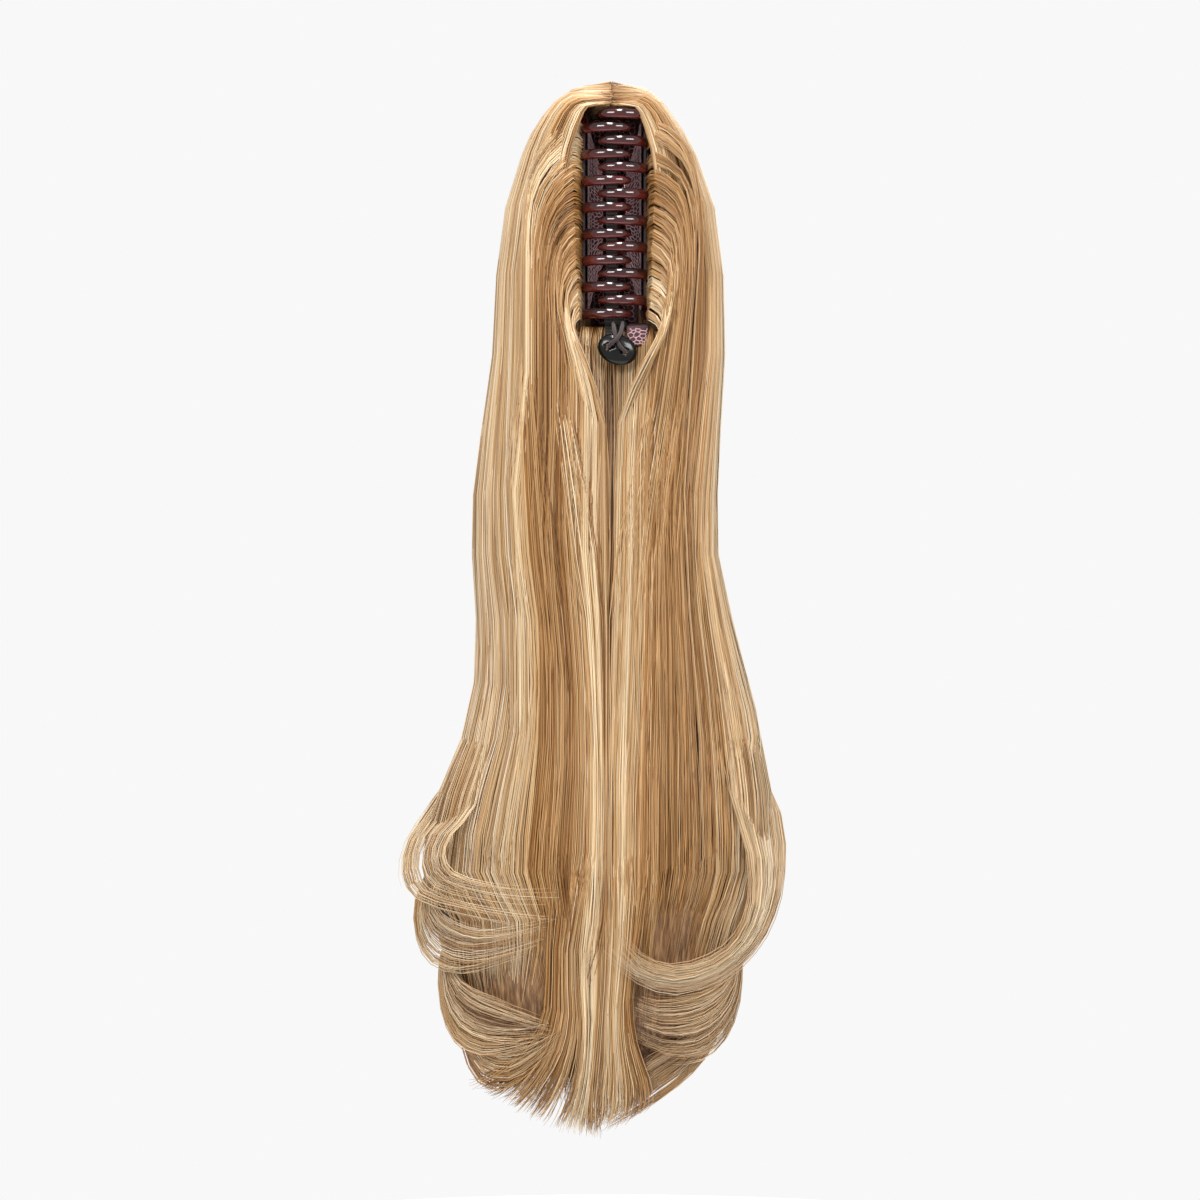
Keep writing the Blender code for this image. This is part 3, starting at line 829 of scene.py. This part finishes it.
strand_tree, strand_sockets, group_in, group_out = new_tree(
    "strands", (("Sides", "Int"), ("Finish", "Material"))
)
to_curve = strand_tree.nodes.new("GeometryNodeMeshToCurve")
thickness = strand_tree.nodes.new("GeometryNodeInputNamedAttribute")
thickness.data_type = "FLOAT"
thickness.inputs["Name"].default_value = "thickness"
section = new_node(strand_tree.nodes, "GeometryNodeCurvePrimitiveCircle", {"Radius": 1.0})
to_tube = new_node(strand_tree.nodes, "GeometryNodeCurveToMesh", {"Fill Caps": True})
realize = strand_tree.nodes.new("GeometryNodeRealizeInstances")
set_finish = strand_tree.nodes.new("GeometryNodeSetMaterial")
join_up(
    strand_tree.links,
    (group_in, "Geometry", to_curve, "Mesh"),
    (thickness, "Attribute", to_tube, "Scale"),
    (group_in, "Sides", section, "Resolution"),
    (to_curve, "Curve", to_tube, "Curve"),
    (section, "Curve", to_tube, "Profile Curve"),
    (to_tube, "Mesh", realize, "Geometry"),
    (realize, "Geometry", set_finish, "Geometry"),
    (group_in, "Finish", set_finish, "Material"),
    (set_finish, "Geometry", group_out, "Geometry"),
)


STRAND_SIDES = 3


def tubes(name, lines):
    """One piece of closed tubes. Each line holds points in mm, their radii in mm, tones and ashes."""
    points = np.concatenate([line[0] for line in lines])
    values = {
        "thickness": np.concatenate([line[1] for line in lines]) * MM,
        "tone": np.concatenate([line[2] for line in lines]),
        "ash": np.concatenate([line[3] for line in lines]),
    }
    edges = []
    start = 0
    for line in lines:
        count = len(line[0])
        edges.extend((start + k, start + k + 1) for k in range(count - 1))
        start += count
    mesh = bpy.data.meshes.new(name)
    mesh.from_pydata((points * MM).tolist(), edges, [])
    for key, read in values.items():
        mesh.attributes.new(key, "FLOAT", "POINT").data.foreach_set("value", read.astype(np.float32))
    piece = new_object(name, mesh)
    step = piece.modifiers.new("strands", "NODES")
    step.node_group = strand_tree
    step[strand_sockets["Sides"]] = STRAND_SIDES
    step[strand_sockets["Finish"]] = hair_paint
    applied(piece)
    piece.data.shade_smooth()
    return piece


draw = np.random.default_rng(18)

# The pale, ashy tones at the two outer edges (shares -1 and 1) are painted reflection of the pale backdrop;
# the rest are dyed streaks.
STREAKS_AND_EDGE_REFLECTION = (  # share of the half width at the waist, tone, ash
    (-1.00, 0.84, 0.70), (-0.66, 0.76, 0.20), (-0.55, 0.38, 0.00), (-0.36, 0.36, 0.00),
    (-0.22, 0.74, 0.10), (-0.12, 0.96, 0.25), (-0.03, 0.52, 0.35), (0.12, 0.86, 0.25),
    (0.26, 0.72, 0.10), (0.36, 0.46, 0.00), (0.58, 0.42, 0.05), (0.76, 0.58, 0.25),
    (0.87, 0.86, 0.25), (1.00, 0.94, 0.40),
)
FIBRE = (0.16, 0.25)  # thinnest and thickest radius of a strand, in mm
PART_X = -1.3
PART_ROWS = (  # share of the way round, y, z along the parting at the crown
    (0, -13.5, 47.6),
    (0.15, -12.5, 48.6),
    (0.25, -9.5, 51.5),
    (0.38, -4, 56),
    (0.55, 2, 58.6),
    (0.75, 9, 59.2),
    (1, 17, 58),
)
CROWN_LEVELS = (  # heights in mm that the strands' curves pass through
    53.0, 44.0, 28.0, 5.0, -25.0, -60.0, -95.0, -122.0, -148.0, -176.0, -204.0, -228.0, -252.0, -285.0,
)
PARTING_ROWS = (  # z, least distance in mm from the middle in front
    (-50, 10.5), (-58, 8.5), (-66, 6), (-75, 3.8), (-90, 1.6), (-104, 0.6), (-120, 0.1),
)


def streak_of(angle):
    """Tone and ash at an angle from the front, with painted reflection at the two edges; the back is
    streaked like the front.
    """
    table = np.array(STREAKS_AND_EDGE_REFLECTION)
    share = np.sin(np.radians(angle))
    share = np.sign(share) * np.abs(share) ** FULLNESS
    share = np.where(np.abs(angle) > 90.0, -share * 0.97, share)
    return tuple(np.interp(share, table[:, 0], table[:, k]) for k in (1, 2))


def locks_of(count, locks):
    """Which lock each strand belongs to, the locks' middles and the strands' own places, 0 to 1."""
    middles = (np.arange(locks) + draw.uniform(0.2, 0.8, locks)) / locks
    place = draw.uniform(0.0, 1.0, count)
    member = np.abs(place[:, None] - middles[None, :]).argmin(axis=1)
    return member, middles, place


def front_y(x, z):
    """Where the front of the fall lies at x and z, in mm."""
    left, right, front, back, centre = outline_at(z)
    half_width = np.where(x < centre, centre - left, right - centre)
    share = np.clip(np.abs(x - centre) / half_width, 0.0, 0.995)
    forward = np.sqrt(1 - share ** (2 / FULLNESS)) ** FULLNESS
    return (front + back) / 2 - forward * (back - front) / 2


CURTAIN_EDGE = (  # z, how far from the middle the inner edge of the front hair lies
    (50, 1.5), (47.5, 6), (45.5, 10), (43, 12.6), (36, 15), (28, 16.8), (9, 20.4),
    (-12, 22.4), (-38, 23.6), (-60, 21), (-85, 15), (-115, 8), (-160, 0),
)
ASIDE_ANGLE = 88.0  # degrees from the front where hair stops being drawn aside
ASIDE_FADE = 22.0
UNDER_DEPTH = 2.2  # mm that the front hair lies under the wefts beside the clip


def drawn_aside(keys, angle, depth):
    """Moves the front strands out beside the clip, evenly between its edge and the side."""
    table = np.array(CURTAIN_EDGE)[::-1]
    x, z = keys[..., 0], keys[..., 2]
    left, right, _, _, centre = outline_at(z)
    side = np.sign(angle)
    half_width = np.where(side < 0, centre - left, right - centre)
    edge = np.interp(z, table[:, 0], table[:, 1])
    moved = centre + side * (edge + np.abs(x - centre) * (1 - edge / half_width))
    aside = np.clip((ASIDE_ANGLE - np.abs(angle)) / ASIDE_FADE, 0, 1)
    beside_clip = np.clip((38 - z) / 12, 0, 1) * np.clip((z + 95) / 30, 0, 1)
    under = UNDER_DEPTH * np.clip((40 - np.abs(moved)) / 8, 0, 1) * beside_clip
    y = keys[..., 1] + (front_y(moved, z) + depth + under - keys[..., 1]) * aside
    keys[..., 0] = x + (moved - x) * aside
    keys[..., 1] = y
    return keys


FIRST_ANGLES = (0.0, 16.0, 50.0, 90.0)
FIRST_HEIGHTS = (46.4, 48.6, 53.0, 57.0)  # of the first level, at those angles from the front


def from_crown(angle, depth, levels):
    """Keys from the parting at the crown, over the dome and down the fall."""
    rows = np.array(PART_ROWS)
    round_share = np.abs(angle[:, 0]) / 180.0
    side = np.sign(angle[:, 0])
    root_y, root_z = (np.interp(round_share, rows[:, 0], rows[:, k]) for k in (1, 2))
    root = np.stack([PART_X + side * 0.5, root_y, root_z], axis=-1) + draw.normal(0.0, 0.4, (len(side), 3))
    keys = [root]
    for k, level in enumerate(levels):
        z = np.full(len(side), level)
        if k == 0:
            z = np.interp(np.abs(angle[:, 0]), FIRST_ANGLES, FIRST_HEIGHTS)
        keys.append(on_fall(angle[:, k + 1], depth[:, k + 1], z))
    keys = np.stack(keys, axis=1)
    fallen = slice(1, keys.shape[1])
    keys[:, 1:] = drawn_aside(keys[:, 1:], angle[:, fallen], depth[:, fallen])
    return keys


ROOT_X = 14.4
ROOT_Y = -10.0
ROOT_LOW = -46.5
ROOT_HIGH = 37.0
ROOT_TOP = 39.0
SETTLED_LOW = 2.0
SETTLED_HIGH = 44.0
JOIN_KEY = 4  # the key where a weft's arc has joined the fall
WEFT_STEPS = 6
ARC_BEND = (16.0, 0.10)  # where the arc lies at its bend: least x, and share of the reach added to it
ARC_TURN = (17.0, 0.34)
ARC_FALL = (16.6, 0.72)
TURN_DROP = 6.0  # mm from a root down to the arc's turn, then to its steep fall, and to the fall of hair
FALL_DROP = 20.0
JOIN_DROP = 46.0
FLAP_ROOM = 5.0  # mm more on the right, beside the flap of net


def from_weft(angle, depth, floor, member):
    """Keys from the edge of the net beside the teeth, out in a tight arc and down to the floor."""
    side = np.sign(angle[:, 0])
    settled = np.abs(angle[:, 0])
    count = len(side)
    rise = np.clip((settled - SETTLED_LOW) / (SETTLED_HIGH - SETTLED_LOW), 0, 1)
    root_z = ROOT_LOW + rise * (ROOT_HIGH - ROOT_LOW)
    root_z = root_z + draw.normal(0.0, 1.5, member.max() + 1)[member] + draw.normal(0.0, 1.0, count)
    root_z = np.clip(root_z, ROOT_LOW, ROOT_TOP)
    lift = draw.uniform(0.4, 3.4, member.max() + 1)[member] + draw.normal(0.0, 0.45, count)
    swing = draw.uniform(0.0, 3.0, member.max() + 1)[member] + draw.normal(0.0, 0.4, count)
    joined = on_fall(angle[:, JOIN_KEY], depth[:, JOIN_KEY] * 0.6 - 1.0, root_z - JOIN_DROP)
    reach = np.abs(joined[:, 0])
    x_bend = ARC_BEND[0] + ARC_BEND[1] * (reach - ROOT_X) + swing * 0.3
    x_turn = ARC_TURN[0] + ARC_TURN[1] * (reach - ROOT_X) + swing
    x_fall = ARC_FALL[0] + ARC_FALL[1] * (reach - ROOT_X) + swing
    z_turn = root_z + lift * 0.2 - TURN_DROP
    z_fall = root_z - FALL_DROP
    shade = depth[:, 3] * 0.5
    keys = [
        np.stack([side * (ROOT_X + draw.normal(0, 0.4, count)), np.full(count, ROOT_Y), root_z], -1),
        np.stack([side * x_bend, front_y(x_bend, root_z) + 3.0 + shade * 0.4, root_z + lift], -1),
        np.stack([side * x_turn, front_y(x_turn, z_turn) - 0.8 + shade, z_turn], -1),
        np.stack([side * x_fall, front_y(x_fall, z_fall) - 1.5 + shade, z_fall], -1),
        joined,
    ]
    for step in range(1, WEFT_STEPS + 1):
        share = step / WEFT_STEPS
        z = (root_z - JOIN_DROP) * (1 - share) + floor * share
        keys.append(on_fall(angle[:, JOIN_KEY + step], depth[:, JOIN_KEY + step], z))
    keys = np.stack(keys, axis=1)
    table = np.array(PARTING_ROWS)[::-1]
    clear = np.interp(keys[..., 2], table[:, 0], table[:, 1], left=0.0)
    beside_flap = np.clip((keys[..., 2] + 84.0) / 24.0, 0, 1)
    clear += np.where(side > 0, FLAP_ROOM, 0.0)[:, None] * beside_flap
    clear[:, :2] = 0.0
    keys[..., 0] = side[:, None] * np.sqrt(keys[..., 0] ** 2 * (keys[..., 0] * side[:, None] > 0) + clear**2)
    return keys


BENEATH_ROOT_Z = -49.0
BENEATH_LEVELS = (-54.0, -62.0, -74.0, -92.0, -115.0, -145.0, -175.0, -210.0, -247.0, -285.0)


def from_beneath(angle, depth, levels):
    """Keys from the wefts under the clip, out of the parting below the button and down."""
    root = on_fall(angle[:, 0], depth[:, 0] + 2.0, np.full(len(angle), BENEATH_ROOT_Z))
    root = root + np.array((0.0, 3.0, 0.0))
    keys = [
        on_fall(angle[:, k + 1], depth[:, k + 1], np.full(len(angle), z)) for k, z in enumerate(levels)
    ]
    return np.stack([root, *keys], axis=1)


WAVE_LENGTH = 150.0  # mm of the slow wave that each lock takes as it falls
FALL_LENGTH = 400.0
HOLD = 0.12  # how much the strands of a lock gather between its ends
TONE_BASE, TONE_SPAN = 0.17, 0.70  # of a strand, from the tone of its streak
LOCK_TONES, STRAND_TONES, STRAND_ASHES = 0.07, 0.14, 0.2  # how much these differ at random
# Painted shade: the roots are darkened, standing in for the shade in the parting and where the wefts leave
# the net.
PAINTED_ROOT_SHADE, ROOT_FADE = 0.30, 0.035  # darker roots, over so much of the length
TIP_TAPER = 0.10
TONE_KEY = 7  # the key whose angle picks a strand's streak
ROOT_SPANS = {"crown": (3, 2, 2), "beneath": (2, 2, 2), "weft": (2, 2, 2, 2)}
FINE_SPANS = {"crown": 3, "beneath": 1, "weft": 1}  # how many keys above the guide these start


def spans_for(upper, head, total):
    """Points to each span: close at the root, far apart down the fall, close in the curl."""
    counts = [1] * (total - 1)
    counts[: len(ROOT_SPANS[upper])] = ROOT_SPANS[upper]
    for k in range(head - FINE_SPANS[upper], total - 1):
        counts[k] = 2
    return counts


def lock_strands(
    count, locks, angles, depths, upper, levels, guide, bias=0.0, fray=1.0, cut=0.94, thinning=1.0
):
    """Strands that leave the crown or a weft, fall between two angles and end along a guide.

    The guide's rows hold both edges of the lock: x, y, z of the first and x, y, z of the other.
    """
    member, middles, place = locks_of(count, locks)
    head = 1 + (JOIN_KEY + WEFT_STEPS if upper == "weft" else len(levels))
    total = head + len(guide)
    step = np.linspace(0.0, 1.0, total)
    gathered = 1.0 - HOLD * np.sin(step * math.pi * 0.9) ** 0.6
    share = middles[member][:, None] + (place - middles[member])[:, None] * gathered[None, :]
    swell = draw.uniform(0.4, 1.0, (locks, 1)) * 0.28 / locks
    waves = step[None, :] * FALL_LENGTH / WAVE_LENGTH + draw.uniform(0, 1, (locks, 1))
    wave = swell * np.sin(2 * math.pi * waves)
    stray = np.cumsum(draw.normal(0.0, 0.012, (count, total)), axis=1) * 0.5
    share = np.clip(share + wave[member] + stray, -0.03, 1.03)
    angle = angles[0] + (angles[1] - angles[0]) * share
    if angles[0] * angles[1] > 0:
        side = np.sign(angles[0])
        angle = side * np.maximum(angle * side, 0.4)
    lock_depth = draw.uniform(0.0, 0.35, (locks, 1)) + draw.normal(0, 0.03, (locks, total))
    depth_share = draw.beta(1.1, 1.6, (count, 1)) * 0.65 + lock_depth[member]
    depth = depths[0] + (depths[1] - depths[0]) * depth_share
    if upper == "crown":
        keys = from_crown(angle, depth, levels)
    elif upper == "beneath":
        keys = from_beneath(angle, depth, levels)
    else:
        keys = from_weft(angle, depth, levels[-1], member)
    if guide:
        rows = np.array(guide, float)
        tail = np.clip(share[:, -len(guide):, None], 0.0, 1.0)
        lower = rows[None, :, :3] * (1 - tail) + rows[None, :, 3:] * tail
        inward = depth[:, -len(guide):, None] * np.array([0.0, 0.8, 0.0])
        spread = np.linspace(0.25, 1.0, len(guide))[None, :, None] * fray
        loose = draw.normal(0.0, 1.0, (count, 1, 3)) * spread * np.array([1.2, 0.7, 1.5])
        lower = lower + inward + loose
        lower = lower + draw.normal(0.0, 0.35, lower.shape) * spread
        keys = np.concatenate([keys, lower], axis=1)
    path = curve_through(keys, spans_for(upper, head, total))
    samples = path.shape[1]
    tone_of, ash_of = streak_of(angle[:, min(TONE_KEY, head - 1)])
    lock_tone = draw.normal(0.0, LOCK_TONES, locks)[member]
    strand_tone = TONE_BASE + TONE_SPAN * tone_of + bias + lock_tone + draw.normal(0.0, STRAND_TONES, count)
    strand_ash = np.clip(ash_of * 0.75 - 0.05 + draw.normal(0.0, STRAND_ASHES, count), 0.0, 1.0)
    along = np.linspace(0.0, 1.0, samples)
    radius = draw.uniform(*FIBRE, count)
    lines = []
    for k in range(count):
        kept = min(samples, round(samples * (cut + (1.02 - cut) * draw.uniform(0.0, 1.0) ** thinning)))
        last = path[k, kept - 1] - path[k, kept - 2]
        path[k, kept - 1] = path[k, kept - 2] + last * draw.uniform(0.15, 1.0)
        taper = np.clip((1.0 - along[:kept] / along[kept - 1]) / TIP_TAPER, 0.25, 1.0)
        # Painted shade: each strand is darkened towards its root.
        shade = strand_tone[k] - PAINTED_ROOT_SHADE * np.exp(-((along[:kept] / ROOT_FADE) ** 2))
        ashes = np.full(kept, strand_ash[k])
        lines.append((path[k, :kept], radius[k] * taper, np.clip(shade, 0.02, 1.0), ashes))
    return lines


def hang_hair(name, lines):
    """A piece of strands that hangs with the fall."""
    piece = tubes(name, lines)
    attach(piece, "root")


# The curled locks on the left: four tiers of the side hair, each set round a roller so that it
# swells out, turns under and runs to the front in a fan of ends.

UPPER_LEFT = (  # outer edge x, y, z, then inner edge x, y, z
    (-80, 4, -256, -60, -24, -256),
    (-91, -4, -273, -70, -31, -268),
    (-93, -16, -287, -73, -36, -277),
    (-86, -29, -297, -69, -40, -284),
    (-68, -38, -302, -56, -42, -288),
    (-46, -41, -306, -40, -43, -290),
    (-24, -42, -309, -22, -43, -289),
)
SECOND_LEFT = (
    (-80, 6, -282, -66, -14, -276),
    (-87, -2, -300, -76, -22, -290),
    (-86, -14, -315, -77, -28, -299),
    (-79, -25, -325, -69, -34, -306),
    (-66, -32, -328, -57, -38, -309),
    (-50, -36, -324, -44, -40, -308),
    (-31, -37, -317, -27, -40, -304),
)
THIRD_LEFT = (
    (-70, 4, -302, -60, -8, -300),
    (-76, -2, -326, -70, -16, -318),
    (-75, -12, -345, -69, -24, -329),
    (-69, -20, -359, -61, -30, -336),
    (-58, -27, -364, -50, -33, -340),
    (-43, -31, -361, -38, -34, -345),
    (-28, -33, -355, -27, -34, -350),
)
LOWEST_LEFT = (
    (-60, 6, -322, -50, -4, -322),
    (-67, 0, -345, -60, -12, -340),
    (-66, -8, -363, -60, -18, -352),
    (-59, -16, -376, -54, -25, -359),
    (-47, -23, -378, -43, -29, -361),
    (-34, -29, -368, -33, -31, -357),
    (-24, -32, -357, -25, -32, -352),
)

left_lines = []
for count, locks, angles, depths, join, guide, bias, cut, thinning in (
    (260, 20, (-116, -58), (0.0, 4.0), 12, UPPER_LEFT, 0.0, 0.62, 1.5),
    (250, 15, (-106, -54), (1.0, 5.0), 13, SECOND_LEFT, 0.0, 0.70, 1.3),
    (220, 15, (-122, -52), (1.0, 5.0), 14, THIRD_LEFT, -0.06, 0.84, 1.0),
    (160, 12, (-140, -84), (1.0, 5.0), 14, LOWEST_LEFT, -0.06, 0.90, 1.0),
):
    left_lines += lock_strands(
        count, locks, angles, depths, "crown", CROWN_LEVELS[:join], guide, bias, 0.9, cut, thinning
    )
hang_hair("hair_left", left_lines)


# The curled locks on the right: the outer one sweeps under in a wide bow whose ends rise at the
# middle, the next lies below it, and the lowest runs in along the edge to the tip.

UPPER_RIGHT = (
    (73, 2, -262, 50, -26, -252),
    (74, -8, -286, 57, -31, -276),
    (69, -19, -304, 58, -35, -297),
    (60, -29, -318, 52, -39, -312),
    (45, -36, -330, 41, -41, -321),
    (27, -38, -335, 25, -41, -325),
    (10, -38, -331, 11, -41, -320),
    (-3, -37, -321, 4, -40, -311),
)
SECOND_RIGHT = (
    (56, 4, -300, 48, -12, -298),
    (56, -3, -324, 51, -22, -316),
    (54, -13, -343, 48, -30, -328),
    (48, -22, -357, 40, -34, -334),
    (37, -29, -365, 30, -36, -337),
    (22, -32, -365, 18, -36, -338),
    (8, -33, -358, 8, -36, -335),
)
LOWEST_RIGHT = (
    (46, 8, -322, 38, -6, -320),
    (48, 1, -345, 42, -14, -340),
    (44, -6, -361, 37, -22, -352),
    (34, -12, -374, 27, -26, -360),
    (21, -15, -384, 16, -27, -366),
    (7, -15, -393, 5, -24, -376),
    (-7, -13, -400, -6, -18, -388),
)

right_lines = []
for count, locks, angles, depths, join, guide, bias, cut in (
    (310, 18, (114, 52), (0.0, 4.0), 12, UPPER_RIGHT, 0.04, 0.82),
    (250, 14, (118, 48), (1.0, 5.0), 14, SECOND_RIGHT, -0.08, 0.84),
    (190, 12, (146, 92), (1.0, 5.0), 14, LOWEST_RIGHT, -0.08, 0.92),
):
    right_lines += lock_strands(
        count, locks, angles, depths, "crown", CROWN_LEVELS[:join], guide, bias, 0.9, cut
    )
hang_hair("hair_right", right_lines)


# The front curtains: hair from both sides of the parting that is drawn aside beside the clip,
# lies under its wefts and falls behind the curls, where its cut ends stay hidden.

CURTAIN_LEFT = (  # outer edge x, y, z, then inner edge x, y, z
    (-70, -27, -306, -4, -34.5, -306),
    (-68, -23, -328, -9, -33, -330),
    (-62, -18, -346, -20, -29, -350),
)
CURTAIN_RIGHT = (
    (60, -24, -306, -3, -34.5, -306),
    (52, -21, -328, -3, -33, -330),
    (44, -17, -346, -4, -29, -350),
)
curtain_lines = []
for angles, guide in (((-72, -0.5), CURTAIN_LEFT), ((72, 0.5), CURTAIN_RIGHT)):
    curtain_lines += lock_strands(
        500, 28, angles, (0.2, 3.6), "crown", CROWN_LEVELS, guide, 0.0, 0.8, cut=0.86, thinning=0.7
    )
hang_hair("hair_curtains", curtain_lines)


# The back: the smooth outer side of the ponytail, which falls from the crown in one sheet down
# to the tips. Its strands are cut to slightly uneven lengths.

BACK_LEVELS = (*CROWN_LEVELS, -306.0, -328.0, -350.0, -370.0, -388.0)
back_lines = []
for angles in ((-186, -88), (186, 88)):
    back_lines += lock_strands(
        470, 28, angles, (0.0, 2.6), "crown", BACK_LEVELS, (), cut=0.90, thinning=0.6
    )
hang_hair("hair_back", back_lines)


# The hair beneath the clip: wefts sewn below the net, darkened to brown with painted shade where
# they come out of the parting behind the button, which fall straight and fill the middle down to the tips.

MIDDLE_ENDS = (
    (-20, -30, -320, 12, -30, -320),
    (-20, -27, -346, 8, -27, -346),
    (-22, -22, -370, 4, -22, -370),
    (-22, -16, -388, -2, -16, -388),
)
hang_hair(
    "hair_middle",
    lock_strands(300, 18, (-19, 19), (0.4, 3.6), "beneath", BENEATH_LEVELS, MIDDLE_ENDS, -0.08),
)


# The wefts of the clip: hair sewn along the edge of each jaw's net. It springs out beside the
# teeth in tight arcs, meets below the button, and makes the middle lock with its fanned tips.

FAN_LEFT = (
    (-29, -31, -318, -17, -33, -318),
    (-30, -31, -343, -16, -32, -346),
    (-36, -29, -357, -18, -30, -364),
    (-47, -25, -368, -22, -26, -379),
    (-58, -19, -375, -27, -20, -391),
    (-63, -16, -377, -31, -16, -396),
)
MIDDLE_TIP = (
    (-17, -33, -318, -3, -34, -318),
    (-15, -32, -348, -5, -33, -348),
    (-16, -28, -369, -7, -29, -370),
    (-20, -22, -385, -8, -23, -386),
    (-24, -17, -393, -7, -18, -395),
    (-26, -14, -398, -7, -14, -401),
)
MIDDLE_RIGHT_TIP = (
    (-4, -34, -318, 11, -34, -312),
    (-5, -33, -347, 7, -34, -338),
    (-5, -30, -366, 9, -31, -358),
    (-7, -25, -381, 14, -26, -374),
    (-9, -19, -392, 15, -20, -385),
    (-12, -14, -399, 10, -15, -392),
)
weft_lines = {"left": [], "right": []}
for side_name, count, locks, angles, depths, floor_z, guide, bias in (
    ("left", 190, 11, (-22, -7), (0.0, 3.4), -276.0, FAN_LEFT, 0.0),
    ("left", 150, 9, (-9, -0.5), (0.0, 3.4), -276.0, MIDDLE_TIP, 0.05),
    ("left", 350, 20, (-46, -16), (0.3, 3.8), -330.0, (), 0.0),
    ("right", 230, 13, (0.5, 20), (0.0, 3.4), -276.0, MIDDLE_RIGHT_TIP, 0.0),
    ("right", 360, 20, (15, 46), (0.3, 3.8), -330.0, (), 0.0),
):
    weft_lines[side_name] += lock_strands(
        count, locks, angles, depths, "weft", (floor_z,), guide, bias
    )
for side_name, side in (("left", -1), ("right", 1)):
    weft_hair = tubes("weft_hair_" + side_name, weft_lines[side_name])
    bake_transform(weft_hair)
    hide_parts("weft_" + side_name)
